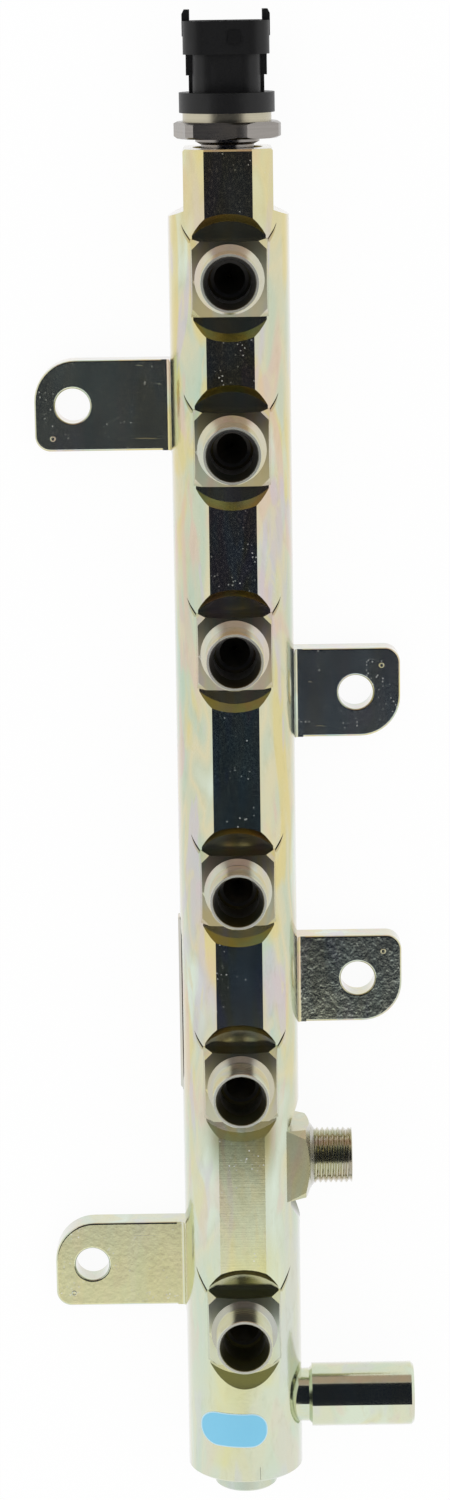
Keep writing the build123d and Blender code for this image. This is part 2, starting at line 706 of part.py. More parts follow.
for number, (across, _) in enumerate(terminal_places, 1):
    side_view = Plane(origin=(across, rail_top, 0), x_dir=(0, 0, 1), z_dir=(-1, 0, 0))
    blade = TERMINAL_THICKNESS / 2

    with BuildPart() as terminal:
        with BuildSketch(side_view):
            Polygon(
                (-TERMINAL_FOOT, terminal_bottom),
                (blade, terminal_bottom),
                (blade, terminal_tip - TERMINAL_THICKNESS),
                (blade / 2, terminal_tip),
                (-blade / 2, terminal_tip),
                (-blade, terminal_tip - TERMINAL_THICKNESS),
                (-blade, terminal_bottom + TERMINAL_THICKNESS),
                (-TERMINAL_FOOT, terminal_bottom + TERMINAL_THICKNESS),
                align=None,
            )
        extrude(amount=TERMINAL_WIDTH / 2, both=True)
    terminal.part.label = f"terminal_{number}"
    export_step(terminal.part, f"parts/terminal_{number}.step")

    with BuildPart() as contact_spring:
        with BuildSketch(side_view):
            Polygon(
                (0, board_top),
                (0, board_top + SPRING_THICKNESS),
                (SPRING_THICKNESS - SPRING_REACH, board_top + SPRING_THICKNESS),
                (SPRING_THICKNESS - SPRING_REACH, terminal_bottom - SPRING_THICKNESS),
                (0, terminal_bottom - SPRING_THICKNESS),
                (0, terminal_bottom),
                (-SPRING_REACH, terminal_bottom),
                (-SPRING_REACH, board_top),
                align=None,
            )
        extrude(amount=SPRING_WIDTH / 2, both=True)
    contact_spring.part.label = f"contact_spring_{number}"
    export_step(contact_spring.part, f"parts/contact_spring_{number}.step")

# ---------------------------------------------------------------- identification label beside the closed end
with BuildPart() as identification_label:
    with BuildSketch():
        with Locations((LABEL_PLACE_X, LABEL_PLACE_Y)):
            RectangleRounded(LABEL_WIDTH, LABEL_HEIGHT, LABEL_CORNER)
    extrude(amount=beyond)
    with BuildSketch(Plane.XZ):
        Circle(RAIL_RADIUS + LABEL_THICKNESS)
        Circle(RAIL_RADIUS, mode=Mode.SUBTRACT)
    extrude(amount=-rail_top, mode=Mode.INTERSECT)

identification_label.part.label = "identification_label"
export_step(identification_label.part, "parts/identification_label.step")
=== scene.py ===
"""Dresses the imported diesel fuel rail: finishes, threads, creases, marks, label, studio and camera.

The file is laid out as an add-on and run as a script. Everything is in metres, in the frame of
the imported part: Y runs along the rail from its closed end to the sensor, Z up out of the ports.
"""

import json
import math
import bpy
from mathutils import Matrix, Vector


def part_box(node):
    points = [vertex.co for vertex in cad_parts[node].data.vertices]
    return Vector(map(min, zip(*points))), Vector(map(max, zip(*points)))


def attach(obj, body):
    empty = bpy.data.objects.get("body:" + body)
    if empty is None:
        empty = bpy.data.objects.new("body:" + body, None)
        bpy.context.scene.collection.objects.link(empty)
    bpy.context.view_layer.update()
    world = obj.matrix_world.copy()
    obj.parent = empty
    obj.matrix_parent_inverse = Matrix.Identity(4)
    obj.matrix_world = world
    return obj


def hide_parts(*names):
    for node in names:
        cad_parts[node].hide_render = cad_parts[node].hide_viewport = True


bl_info = {
    "name": "Fuel Rail Dressing",
    "version": (1, 0, 0),
    "blender": (4, 5, 0),
    "location": "3D Viewport > Sidebar > Fuel Rail",
    "description": "Finishes, threads, marks and studio for a forged diesel fuel rail",
    "category": "Object",
}

import bmesh
import bpy
import numpy as np
from bpy.props import FloatProperty, FloatVectorProperty, IntProperty, PointerProperty
from mathutils import Matrix, Vector

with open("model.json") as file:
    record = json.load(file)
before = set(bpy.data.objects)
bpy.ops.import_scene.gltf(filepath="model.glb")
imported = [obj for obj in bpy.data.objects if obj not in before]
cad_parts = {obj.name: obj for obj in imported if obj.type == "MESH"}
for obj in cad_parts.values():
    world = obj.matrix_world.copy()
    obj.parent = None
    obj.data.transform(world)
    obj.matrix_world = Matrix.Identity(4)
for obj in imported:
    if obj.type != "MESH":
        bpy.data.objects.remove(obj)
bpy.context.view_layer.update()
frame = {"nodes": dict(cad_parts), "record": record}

BODY = "root"
MM = 0.001


# ------------------------ places read from the frame

def mount(name):
    """The record's mount of that name: its place in metres, its axis and its sizes."""
    return next(m for m in frame["record"]["mounts"] if m["name"] == name)


def centre_of(node):
    """The middle of a CAD node's box."""
    low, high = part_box(node)
    return (low + high) / 2


PORT_YS = [mount(f"port_{n}")["pos_m"][1] for n in range(1, 7)]
INLET_Y = mount("inlet")["pos_m"][1]
PEG_Y = mount("side_peg")["pos_m"][1]

# Each nose's place on the rail's axis, and the way it points
NOSES = [((0.0, y, 0.0), (0, 0, 1)) for y in PORT_YS] + [((0.0, INLET_Y, 0.0), (1, 0, 0))]


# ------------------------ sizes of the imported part

RAIL_RADIUS = 16.65 * MM
CROWN_HEIGHT = 15.3 * MM
POCKET_FLOOR = 13.3 * MM
POCKET_REACH = 18.9 * MM  # from a nose's axis to the far corner of its pocket
BLOCK_HALF = 10.05 * MM
BLOCK_TOP = 19.7 * MM
NOSE_RADIUS = 8.0 * MM
NOSE_FOOT = 20.872 * MM
NOSE_TOP = 31.6 * MM
MOUTH_RADIUS = 7.2 * MM
EAR_TOP = -10.0 * MM
EAR_THICKNESS = 7.5 * MM
EAR_START = 15 * MM  # an ear's face lies further out
MOTTLED_EAR_REACH = 170 * MM  # the ear on the inlet's side below this is the mottled one
PEG_REACH = 10 * MM
PAD_PLACE = 140.5 * MM
PAD_HALF = 25.1 * MM
PAD_TOP = 3.4 * MM
PAD_EDGE = 16.2 * MM
LABEL_CORNER = 4.8 * MM
LABEL_BORDER = (-0.40 * MM, -0.15 * MM)

# How far a point or a face may lie from the size that it is told by
WELD = 0.001 * MM
HAIR = 0.01 * MM
NEAR = 0.02 * MM
EDGE_SLACK = 0.05 * MM
SIDE_SLACK = 0.2 * MM
TUBE_SLACK = 0.25 * MM
EAR_SLACK = 0.7 * MM
BLOCK_SLACK = 0.9 * MM
END_SLACK = 1 * MM
NOSE_LOW = 5 * MM  # no finish of a nose lies nearer than this to the rail's axis

# How straight a face looks, as a cosine
ON_TUBE = 0.995
FLAT = 0.99
EAR_FLAT = 0.97
FACING = 0.9
SHOULDER_TILT = 0.7
WALL_TILT = 0.4


# ------------------------ shapes that the scene adds

# The nose's wall runs in to the thread's root by a cone at each end; their normals tip by this
CONE_IN = 0.50 * MM
CONE_OUT = 0.45 * MM
CONE_TIP = 1.4

# The thread's section, as shares of its pitch and its depth, and where it fades in and out
ROOT_SHARE = 0.47
CREST_SHARE = 0.09
SUNK_SHARE = 0.06
FADE_IN = (0.0, 0.05)
FADE_OUT = (1.0, 0.955)
THINNEST = 0.02
THREAD_CREASE = math.radians(25)

SINK = 0.03 * MM  # how deep a ridge's edges lie in what carries it

# Folds beside the ports' blocks: where they start, how far they run, and their shape
FOLD_ASIDE = 10.45 * MM
FOLD_AHEAD = 10.0 * MM
FOLD_RUN = (2.5 * MM, 4.4 * MM)
LAST_FOLD_RUN = (3.1 * MM, 6.3 * MM)
FOLD_BOW = 0.25 * MM
FOLD_TURN = 3.1
FOLD_HEIGHT = 0.24 * MM
FOLD_LIP = 0.02 * MM
FOLD_FADE = 2.2
FOLD_WIDTHS = (0.28 * MM, 0.95 * MM)
FOLD_STEPS = 12

# Seam along the pad on the flank
SEAM_STEPS = 10  # on each side of the pad's middle
SEAM_STEP = 2.56 * MM
SEAM_WIDTHS = (0.42 * MM, 0.30 * MM)
SEAM_OUT = (0.2, 0, 0.98)
SEAM_RISE = 0.14 * MM
SEAM_LIP = 0.02 * MM
SEAM_BEND = 0.8  # share of the seam's half past which it turns down
SEAM_DROP = 0.55

# Punched dots (x, y) and scratches (x, y, run) on the ears, in millimetres
PUNCHED = ((-50.0, 301.9), (41.7, 236.0), (41.7, 151.9), (-49.9, 48.9))
SCRATCHES = ((-26.6, 322.1, 2.3), (-27.8, 301.6, 8.0), (22.5, 218.6, 3.4), (-33.0, 66.4, 9.0),
             (20.6, 231.4, 1.6), (-20.5, 316.8, 1.2))
PUNCH_RADIUS = 0.62 * MM
PUNCH_WIDTH = 0.22 * MM
PUNCH_RISE = 0.09 * MM
PUNCH_SINK = 0.02 * MM
PUNCH_STEPS = 20
SCRATCH_WIDTH = 0.07 * MM
SCRATCH_WAVE = 0.12 * MM
SCRATCH_HEIGHTS = (0.005 * MM, 0.03 * MM, 0.035 * MM, 0.03 * MM, 0.005 * MM)

# Line scribed at the closed end
SCRIBED_X = 4.1 * MM
SCRIBED_START = 0.5 * MM
SCRIBED_RUN = 4.0 * MM
SCRIBED_WIDTH = 0.06 * MM
SCRIBED_HEIGHT = 0.02 * MM
LINE_STEPS = 4

FLOOR_HALF = 3.0
FLOOR_GAP = 0.02 * MM
FLOOR_GLOW = 0.94


# ------------------------ edges of the light

HORIZON = 0.001  # least height that a direction counts with

# Half widths of the dark field's edges, and the dusk's reach about its far edge
SIDE_SOFT = 0.10
LOW_SOFT = 0.015
HIGH_SOFT = 0.06
DUSK_START = 0.10
DUSK_STOP = 0.20
DUSK_SIDE = 0.25
SHADE_TINT = (1.0, 1.4, 2.8)


# ------------------------ tones of the plated steel

# Painted reflection: tones along the rail that stand for the light and shade that each surface
# reflects there; the place in millimetres, and what it multiplies the coat by
BAND_SPAN = 420  # the length that a ramp along the rail covers
CROWN_REFLECTION_BANDS = ((90, (1.20, 1.15, 1.00)), (106, (0.55, 0.55, 0.40)), (145, (0.35, 0.45, 0.75)),
               (215, (0.60, 0.85, 1.20)), (290, (1.00, 1.00, 1.20)))
EAR_REFLECTION_BANDS = ((58, (1.15, 1.10, 0.80)), (144, (0.95, 1.05, 1.20)), (228, (0.75, 0.85, 1.10)),
             (311, (1.25, 1.35, 1.40)))
RING_REFLECTION_BANDS = ((60, (0.75, 0.75, 0.80)), (200, (1.00, 1.00, 1.00)))
WALL_REFLECTION_BANDS = ((60, (1.00, 1.05, 1.50)), (200, (1.00, 1.00, 1.00)))
SHOULDER_REFLECTION_BANDS = ((60, (1.60, 1.70, 1.80)), (170, (1.00, 1.00, 1.00)))
BORE_REFLECTION_BANDS = ((60, (1.90, 1.85, 1.40)), (290, (1.00, 1.00, 1.00)))

# Where the coat changes, each from none to full: along the rail, or aside of its middle
COOL_SPAN = (170 * MM, 30 * MM)
NECK_SPAN = (350 * MM, 368 * MM)
PATCH_ASIDE = (13 * MM, 5 * MM)
PATCH_START = (2 * MM, 6 * MM)
PATCH_STOP = (80 * MM, 65 * MM)
# Painted shade on the shoulders of the flat by the fifth port
FLANK_SHADE_ASIDE = (11.5 * MM, 6.5 * MM)
FLANK_SHADE_START = (88 * MM, 106 * MM)
FLANK_SHADE_STOP = (125 * MM, 115 * MM)

# How much of each layer shows
COOL_SHARE = 0.60
NECK_SHARE = 0.50
PATCH_SHARES = (0.10, 0.40)  # everywhere, and more in patches
DIRT_SHARE = 0.22
# Painted sheen where the coat is seen edge on: its span of facing and its share
EDGE_SHEEN_SPAN = (0.42, 0.92)
EDGE_SHEEN_SHARE = 0.75
PIT_DULL = 0.45
HAZE_DULL = 0.055

PATCH_TONE = (0.70, 0.68, 0.28)
# Tone of the painted shade on the flat's shoulders
FLANK_SHADE_TONE = (0.42, 0.41, 0.30)
BARE_TONE = (0.72, 0.74, 0.70)
DIRT_TONE = (0.80, 0.78, 0.70)
PIT_TONE = (0.90, 0.92, 0.88)
HEAT_TONE = (0.44, 0.36, 0.26)  # brownish tint of turned steel

# Depths of the bumps, the first two for a grain of 1
GRAIN_DEPTH = 0.05 * MM
WAVE_DEPTH = 0.12 * MM
CUT_DEPTH = 0.01 * MM
RING_DEPTH = 0.02 * MM
MOULD_DEPTH = 0.03 * MM
FILM_DEPTH = 0.04 * MM


# ------------------------ sizes and colours to change

def colour(name, description, default):
    """A colour that a user would change."""
    return FloatVectorProperty(name=name, description=description, default=default,
                               subtype="COLOR", size=3, min=0.0, max=1.0)


def number(name, description, default, low, high):
    """A plain number that a user would change."""
    return FloatProperty(name=name, description=description, default=default, min=low, max=high)


def angle(name, description, default):
    """An angle in radians that a user would change."""
    return FloatProperty(name=name, description=description, default=default,
                         subtype="ANGLE", unit="ROTATION")


def length(name, description, default, low=0.0, high=10.0):
    """A length in metres that a user would change."""
    return FloatProperty(name=name, description=description, default=default,
                         min=low, max=high, subtype="DISTANCE", unit="LENGTH", precision=5)


class RailFinish(bpy.types.PropertyGroup):
    """Colours of the plated steel, the sensor and the label."""
    coat_pale: colour("Coat, pale", "Main tone of the yellow passivated zinc",
                      (0.585, 0.620, 0.465))
    coat_cream: colour("Coat, cream", "Warm tone of the passivated zinc", (0.690, 0.640, 0.430))
    coat_yellow: colour("Coat, yellow", "Deepest yellow of the passivated zinc",
                        (0.720, 0.610, 0.260))
    coat_pink: colour("Coat, pink", "Pink interference tone", (0.700, 0.520, 0.430))
    coat_lilac: colour("Coat, lilac", "Lilac interference tone", (0.590, 0.540, 0.620))
    coat_green: colour("Coat, green", "Green interference tone", (0.500, 0.610, 0.480))
    coat_cool: colour("Coat, cool", "Cooler tone near the closed end", (0.680, 0.760, 0.640))
    # Painted sheen: the pale tone mixed in where the coat is seen edge on, for the reflection at
    # grazing angles
    coat_edge_sheen: colour("Coat, rim", "Tone that the coat turns to where it is seen edge on",
                     (0.880, 0.860, 0.880))
    steel: colour("Turned steel", "Bare turned steel of the sensor", (0.330, 0.308, 0.288))
    plastic: colour("Black plastic", "Connector housing", (0.0062, 0.0062, 0.0066))
    brass: colour("Contact brass", "Terminals and springs", (0.72, 0.52, 0.24))
    label: colour("Label", "Blank film beside the closed end", (0.200, 0.570, 0.800))
    label_edge: colour("Label edge", "Pale edge of the film", (0.62, 0.80, 0.86))
    floor: colour("Floor", "Pale studio floor", (0.96, 0.96, 0.96))


class RailThreads(bpy.types.PropertyGroup):
    """Sizes of the threads on the noses."""
    pitch: length("Pitch", "Rise of one turn", 1.5 * MM, 0.5 * MM, 4 * MM)
    root_radius: length("Root radius", "Radius at the bottom of the thread", 7.3 * MM)
    crest_radius: length("Crest radius", "Outer radius of the thread", 8.0 * MM)
    start: length("Start", "Height of the first turn above the nose's foot", 1.0 * MM)
    run: length("Run", "Height of the thread", 10.5 * MM)
    steps: IntProperty(name="Steps", description="Steps in one turn", default=48, min=12, max=128)


class RailStage(bpy.types.PropertyGroup):
    """Camera and light."""
    camera_x: length("Camera X", "Place of the camera across the rail", -0.0031, -2.0, 2.0)
    camera_y: length("Camera Y", "Place of the camera along the rail", 0.4327, -2.0, 2.0)
    camera_z: length("Camera Z", "Height of the camera", 1.0107, -2.0, 3.0)
    tilt: angle("Tilt", "Tilt of the view towards the closed end", math.radians(12.2))
    roll: angle("Roll", "Turn of the camera about its view", 0.01487)
    lens: FloatProperty(name="Lens", description="Focal length for a 36 mm tall sensor",
                        default=87.84, min=10, max=300, subtype="DISTANCE_CAMERA", unit="CAMERA")
    shade_width: number("Shade half width",
                        "Half width of the dark field over the rail, as a tangent", 0.90, 0.0, 4.0)
    shade_low: number("Shade, closed end",
                      "Edge of the dark field towards the closed end, as a tangent",
                      -0.343, -4.0, 4.0)
    shade_high: number("Shade, sensor end",
                       "Edge of the dark field towards the sensor, as a tangent", 1.70, -4.0, 4.0)
    shade_level: number("Shade level", "Light left in the dark field", 0.006, 0.0, 1.0)
    dusk: colour("Dusk", "Light from low behind the sensor", (0.50, 0.38, 0.33))


class RailSettings(bpy.types.PropertyGroup):
    """All settings of the fuel rail."""
    finish: PointerProperty(type=RailFinish, name="Finish", description="Colours")
    threads: PointerProperty(type=RailThreads, name="Threads", description="Thread sizes")
    stage: PointerProperty(type=RailStage, name="Stage", description="Camera and light")


def settings():
    """The scene's settings of the fuel rail."""
    return bpy.context.scene.fuel_rail


# ------------------------ material nodes

class Nodes:
    """Short calls for building one node tree."""

    def __init__(self, tree):
        self.tree = tree
        self.tree.nodes.clear()

    def new(self, kind, links=None, **values):
        """A node of that kind, with its inputs from links and its own settings from values."""
        node = self.tree.nodes.new(kind)
        for key, value in values.items():
            setattr(node, key, value)
        for socket, value in (links or {}).items():
            self.set(node, socket, value)
        return node

    def set(self, node, socket, value):
        """Links a socket or a node to an input, or sets the input's own value."""
        target = node.inputs[socket]
        if isinstance(value, bpy.types.NodeSocket):
            self.tree.links.new(value, target)
        elif isinstance(value, bpy.types.Node):
            self.tree.links.new(value.outputs[0], target)
        elif target.type == "RGBA" and len(value) == 3:
            target.default_value = (*value, 1.0)
        else:
            target.default_value = value

    def math(self, operation, *values):
        """One operation on values."""
        return self.new("ShaderNodeMath", dict(enumerate(values)), operation=operation).outputs[0]

    def times(self, *values):
        """The product of two or more values."""
        product = values[0]
        for value in values[1:]:
            product = self.math("MULTIPLY", product, value)
        return product

    def smooth(self, value, low, high):
        """0 below low, 1 above high, with a soft step between them."""
        return self.new("ShaderNodeMapRange", {"Value": value, "From Min": low, "From Max": high},
                        interpolation_type="SMOOTHSTEP").outputs["Result"]

    def mix(self, factor, first, second, blend="MIX"):
        """Two colours mixed by a factor; sockets 6 and 7 are the node's colour inputs."""
        node = self.new("ShaderNodeMix", data_type="RGBA", blend_type=blend)
        for socket, value in ((0, factor), (6, first), (7, second)):
            self.set(node, socket, value)
        return node.outputs[2]

    def tinted(self, base, tone):
        """A colour times a tone."""
        return self.mix(1.0, base, tone, "MULTIPLY")

    def place(self, scale=(1, 1, 1), move=(0, 0, 0)):
        """Object coordinates, scaled and moved."""
        where = self.new("ShaderNodeTexCoord").outputs["Object"]
        return self.new("ShaderNodeMapping",
                        {"Vector": where, "Scale": scale, "Location": move}).outputs[0]

    def noise(self, scale, detail=2.0, rough=0.5, distortion=0.0, move=(0, 0, 0)):
        """A noise with that many waves to the metre along each axis."""
        return self.new("ShaderNodeTexNoise", {
            "Vector": self.place(scale, move), "Scale": 1.0, "Detail": detail,
            "Roughness": rough, "Distortion": distortion}).outputs["Fac"]

    def ramp(self, factor, stops):
        """A colour ramp with a stop for each place and colour."""
        node = self.new("ShaderNodeValToRGB", {"Fac": factor})
        elements = node.color_ramp.elements
        while len(elements) < len(stops):
            elements.new(0.5)
        for element, (place, value) in zip(elements, stops):
            element.position = place
            element.color = (*value, 1.0)
        return node.outputs[0]

    def bump(self, height, distance, normal=None):
        """The normal raised by a height, on top of another normal where one is given."""
        links = {"Height": height, "Distance": distance}
        if normal is not None:
            links["Normal"] = normal
        return self.new("ShaderNodeBump", links).outputs[0]

    def surface(self, **links):
        """A Principled shader on the output; names with _ for spaces."""
        shader = self.new("ShaderNodeBsdfPrincipled",
                          {key.replace("_", " "): value for key, value in links.items()})
        self.new("ShaderNodeOutputMaterial", {"Surface": shader})


def material(name):
    """A new material and its empty node tree."""
    made = bpy.data.materials.new(name)
    made.use_nodes = True
    return made, Nodes(made.node_tree)


def coat(n, finish, warm, tint):
    """The coat's own tones: green to cool clouds under yellow, pink, lilac and cream stains."""
    base = n.ramp(n.noise((60, 18, 60), 2.0, 0.5, 0.8),
                  [(0.34, finish.coat_green), (0.44, finish.coat_pale), (0.52, finish.coat_cream),
                   (0.58, finish.coat_pale), (0.68, finish.coat_cool)])
    for scale, move, low, high, share, stain in (
            ((85, 22, 85), (3, 1, 7), 0.50, 0.62, 0.75 + warm, finish.coat_yellow),
            ((110, 30, 110), (11, 5, 2), 0.55, 0.66, 0.65 * tint, finish.coat_pink),
            ((120, 26, 120), (5, 9, 13), 0.57, 0.68, 0.60 * tint, finish.coat_lilac),
            ((230, 70, 230), (8, 3, 5), 0.56, 0.70, 0.55, finish.coat_cream)):
        here = n.smooth(n.noise(scale, 2.0, 0.5, 0.7, move), low, high)
        base = n.mix(n.times(here, share), base, stain)
    return base


def ends(n, finish, base, along, aside):
    """The coat cooler at the closed end, yellow on the neck and patchy on the end's middle."""
    base = n.mix(n.times(n.smooth(along, *COOL_SPAN), COOL_SHARE), base, finish.coat_cool)
    base = n.mix(n.times(n.smooth(along, *NECK_SPAN), NECK_SHARE), base, finish.coat_yellow)
    middle = n.times(n.smooth(aside, *PATCH_ASIDE), n.smooth(along, *PATCH_STOP),
                     n.smooth(along, *PATCH_START))
    patchy = n.smooth(n.noise((70, 45, 70), 2.0, 0.5, 0.6, (9, 2, 4)), 0.42, 0.60)
    share = n.math("ADD", PATCH_SHARES[0], n.times(patchy, PATCH_SHARES[1]))
    return n.mix(n.times(middle, share), base, PATCH_TONE)


def darkened(n, base, along, aside):
    """Painted shade: the coat darker on the shoulders of the flat by the fifth port."""
    shadow = n.times(n.smooth(aside, *FLANK_SHADE_ASIDE), n.smooth(along, *FLANK_SHADE_START),
                     n.smooth(along, *FLANK_SHADE_STOP))
    return n.mix(shadow, base, n.tinted(base, FLANK_SHADE_TONE))


def painted_reflection(n, base, along, reflection_bands):
    """Painted reflection: the coat times tones along the rail that stand for the light and shade
    reflected there. The ramp holds half of each, since it ends at 1.
    """
    stops = [(place / BAND_SPAN, tuple(v / 2 for v in tone)) for place, tone in reflection_bands]
    half = n.ramp(n.math("DIVIDE", along, BAND_SPAN * MM), stops)
    return n.tinted(base, n.tinted(half, (2.0, 2.0, 2.0)))


def pitted(n, base, metal, speckle):
    """Bright pits and a faint haze over the coat: its new colour and its metallic share."""
    dots = n.new("ShaderNodeTexVoronoi", {"Vector": n.place((820, 820, 820)), "Scale": 1.0})
    some = n.smooth(n.noise((150, 110, 150), 3.0, 0.6, 0.0, (2, 2, 2)), 0.50, 0.64)
    pit = n.times(n.smooth(dots.outputs["Distance"], 0.25, 0.13), some)
    haze = n.smooth(n.noise((1500, 850, 1500), 3.0, 0.7, 0.0, (4, 4, 8)), 0.48, 0.72)
    dulled = n.math("ADD", n.times(pit, PIT_DULL), n.times(haze, HAZE_DULL))
    return (n.mix(n.times(pit, speckle), base, PIT_TONE),
            n.math("SUBTRACT", metal, n.times(dulled, speckle)))


def plated(name, tone=(1, 1, 1), roughness=0.14, *, warm=0.0, tint=1.0, bare=0.0, reflection_bands=(),
           shaded_flanks=False, speckle=0.0, dull=0.0, grain=0.1, milled=0.0):
    """Yellow passivated zinc over forged or machined steel.

    tone multiplies the coat's own tones, warm adds yellow, tint scales the pink and the lilac,
    bare is the share of thin, pale plating and reflection_bands are painted reflection: tones at
    places along the rail that stand for the light and shade reflected there. shaded_flanks paints
    shade on the shoulders of the flat by the fifth port, speckle scales the bright pits and dull
    is the share of light that scatters. grain scales the bumps and milled a cutter's fine lines.
    Where the coat is seen edge on, it turns to a painted sheen.
    """
    finish = settings().finish
    made, n = material(name)
    where = n.new("ShaderNodeSeparateXYZ", {"Vector": n.place()}).outputs
    along, aside = where["Y"], n.math("ABSOLUTE", where["X"])
    base = ends(n, finish, coat(n, finish, warm, tint), along, aside)
    # Painted shade on the flat's shoulders by the fifth port
    if shaded_flanks:
        base = darkened(n, base, along, aside)
    if bare:
        base = n.mix(bare, base, BARE_TONE)
    base = n.tinted(base, tone)
    # Painted reflection: tones along the rail for the light and shade reflected there
    if reflection_bands:
        base = painted_reflection(n, base, along, reflection_bands)
    dirt = n.smooth(n.noise((420, 160, 420), 3.0, 0.6, 0.3, (1, 4, 2)), 0.52, 0.72)
    base = n.mix(n.times(dirt, DIRT_SHARE), base, n.tinted(base, DIRT_TONE))
    # Painted sheen: the coat turns pale where it is seen edge on, for the reflection at grazing
    # angles
    facing = n.new("ShaderNodeLayerWeight", {"Blend": 0.35}).outputs["Facing"]
    edge_sheen = n.times(n.smooth(facing, *EDGE_SHEEN_SPAN), EDGE_SHEEN_SHARE)
    base = n.mix(edge_sheen, base, finish.coat_edge_sheen)
    metal = 1.0 - dull
    if speckle:
        base, metal = pitted(n, base, metal, speckle)
    rough = n.math("ADD", roughness - 0.02, n.times(n.noise((160, 60, 160)), 0.05))
    skin = n.bump(n.noise((950, 620, 950), 2.0, 0.5, 0.2), GRAIN_DEPTH * grain)
    skin = n.bump(n.noise((180, 60, 180), 2.0, 0.5, 0.3, (6, 6, 1)), WAVE_DEPTH * grain, skin)
    if milled:
        skin = n.bump(n.noise((50, 2300, 50), 2.0, 0.5, 0.15), CUT_DEPTH * milled, skin)
    n.surface(Base_Color=base, Metallic=metal, Roughness=rough, Normal=skin)
    return made


# ------------------------ meshes

def link(obj, replaces=()):
    """Puts an object in the scene, on the rail's body, and hides the CAD parts that it replaces."""
    bpy.context.scene.collection.objects.link(obj)
    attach(obj, BODY)
    if replaces:
        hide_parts(*replaces)


def corner_data(node):
    """Vertices, triangles and corner normals of a CAD node, welded."""
    mesh = frame["nodes"][node].data
    co = np.empty(len(mesh.vertices) * 3, np.float32)
    mesh.vertices.foreach_get("co", co)
    co = co.reshape(-1, 3).astype(float)
    tris = np.array([tuple(p.vertices) for p in mesh.polygons])
    normals = np.empty(len(mesh.loops) * 3, np.float32)
    mesh.corner_normals.foreach_get("vector", normals)
    normals = normals.reshape(-1, 3, 3)
    keys, back = np.unique(np.round(co / WELD).astype(np.int64), axis=0, return_inverse=True)
    back = back.ravel()
    welded = np.zeros((len(keys), 3))
    welded[back] = co
    tris = back[tris]
    keep = (tris != np.roll(tris, 1, axis=1)).all(axis=1)
    return welded, tris[keep], normals[keep]


def mesh_object(name, verts, faces, materials, slots=None, normals=None, smooth=True):
    """An object of that mesh, with a material for each face and normals where they are given."""
    mesh = bpy.data.meshes.new(name)
    mesh.from_pydata([tuple(v) for v in verts], [], [tuple(f) for f in faces])
    for made in materials:
        mesh.materials.append(made)
    if slots is not None:
        mesh.polygons.foreach_set("material_index", np.asarray(slots, np.int32))
    if normals is None:
        mesh.polygons.foreach_set("use_smooth", [smooth] * len(mesh.polygons))
    else:
        mesh.normals_split_custom_set([tuple(v) for v in normals])
    mesh.update()
    return bpy.data.objects.new(name, mesh)


def nose_frame(axis):
    """Rows of the matrix that turns a nose's axis to local Z."""
    if abs(axis[2]) > 0.5:
        return np.eye(3)
    return np.array([(0.0, 1.0, 0.0), (0.0, 0.0, 1.0), (1.0, 0.0, 0.0)])


def radial(angle, lift, turn):
    """The normal at an angle about a nose, tipped along its axis by lift."""
    out = np.array((math.cos(angle), math.sin(angle), lift))
    return tuple((out / np.linalg.norm(out)) @ turn)


def band(low, high, lift, turn):
    """Faces and corner normals between two rings of (angle, vertex) about a nose."""
    faces, loops = [], []
    for i in range(len(low)):
        j = (i + 1) % len(low)
        corners = (low[i], low[j], high[j], high[i])
        faces.append(tuple(vertex for _, vertex in corners))
        loops.append(tuple(radial(angle, lift, turn) for angle, _ in corners))
    return faces, loops


def rail_mesh():
    """The rail's welded mesh with each nose's wall turned down to the thread's root."""
    root = settings().threads.root_radius
    verts, tris, normals = corner_data("rail_body")
    verts = list(map(tuple, verts))
    faces = [tuple(t) for t in tris]
    loops = [tuple(map(tuple, t)) for t in normals]
    for place, axis in NOSES:
        turn = nose_frame(axis)
        local = (np.array(verts) - place) @ turn.T
        angles = np.arctan2(local[:, 1], local[:, 0])
        on_wall = abs(np.hypot(local[:, 0], local[:, 1]) - NOSE_RADIUS) < NEAR
        foot, tip = (sorted((angles[vertex], vertex) for vertex in
                            np.where(on_wall & (abs(local[:, 2] - height) < NEAR))[0])
                     for height in (NOSE_FOOT, NOSE_TOP))
        if len(foot) != len(tip):
            raise RuntimeError("the nose's rings do not match")
        at_foot, at_tip = ({vertex for _, vertex in ring} for ring in (foot, tip))
        at_either = at_foot | at_tip
        wall = {i for i, face in enumerate(faces) if at_either.issuperset(face)
                and not at_foot.issuperset(face) and not at_tip.issuperset(face)}
        faces = [face for i, face in enumerate(faces) if i not in wall]
        loops = [loop for i, loop in enumerate(loops) if i not in wall]
        inner = []
        for ring, height in ((foot, NOSE_FOOT + CONE_IN), (tip, NOSE_TOP - CONE_OUT)):
            inner.append([(angle, len(verts) + i) for i, (angle, _) in enumerate(ring)])
            for angle, _ in ring:
                point = np.array((math.cos(angle) * root, math.sin(angle) * root, height))
                verts.append(tuple(point @ turn + place))
        for low, high, lift in ((foot, inner[0], CONE_TIP), (inner[0], inner[1], 0.0),
                                (inner[1], tip, -CONE_TIP)):
            more, corners = band(low, high, lift, turn)
            faces += more
            loops += corners
    return verts, faces, loops


# The rail's finishes, as numbers of its material slots
(COAT, CROWN, BLOCK, SHOULDER, POCKET, WALL, RING, NOSE, RIM, BORE, EAR, EAR_MOTTLED, PEG_SKIN,
 END) = range(14)


def on_tube(c, out):
    """Whether a face lies on the rail's own round skin."""
    reach = math.hypot(c[0], c[2])
    return reach >= RAIL_RADIUS - TUBE_SLACK and (c[0] * out[0] + c[2] * out[2]) / reach > ON_TUBE


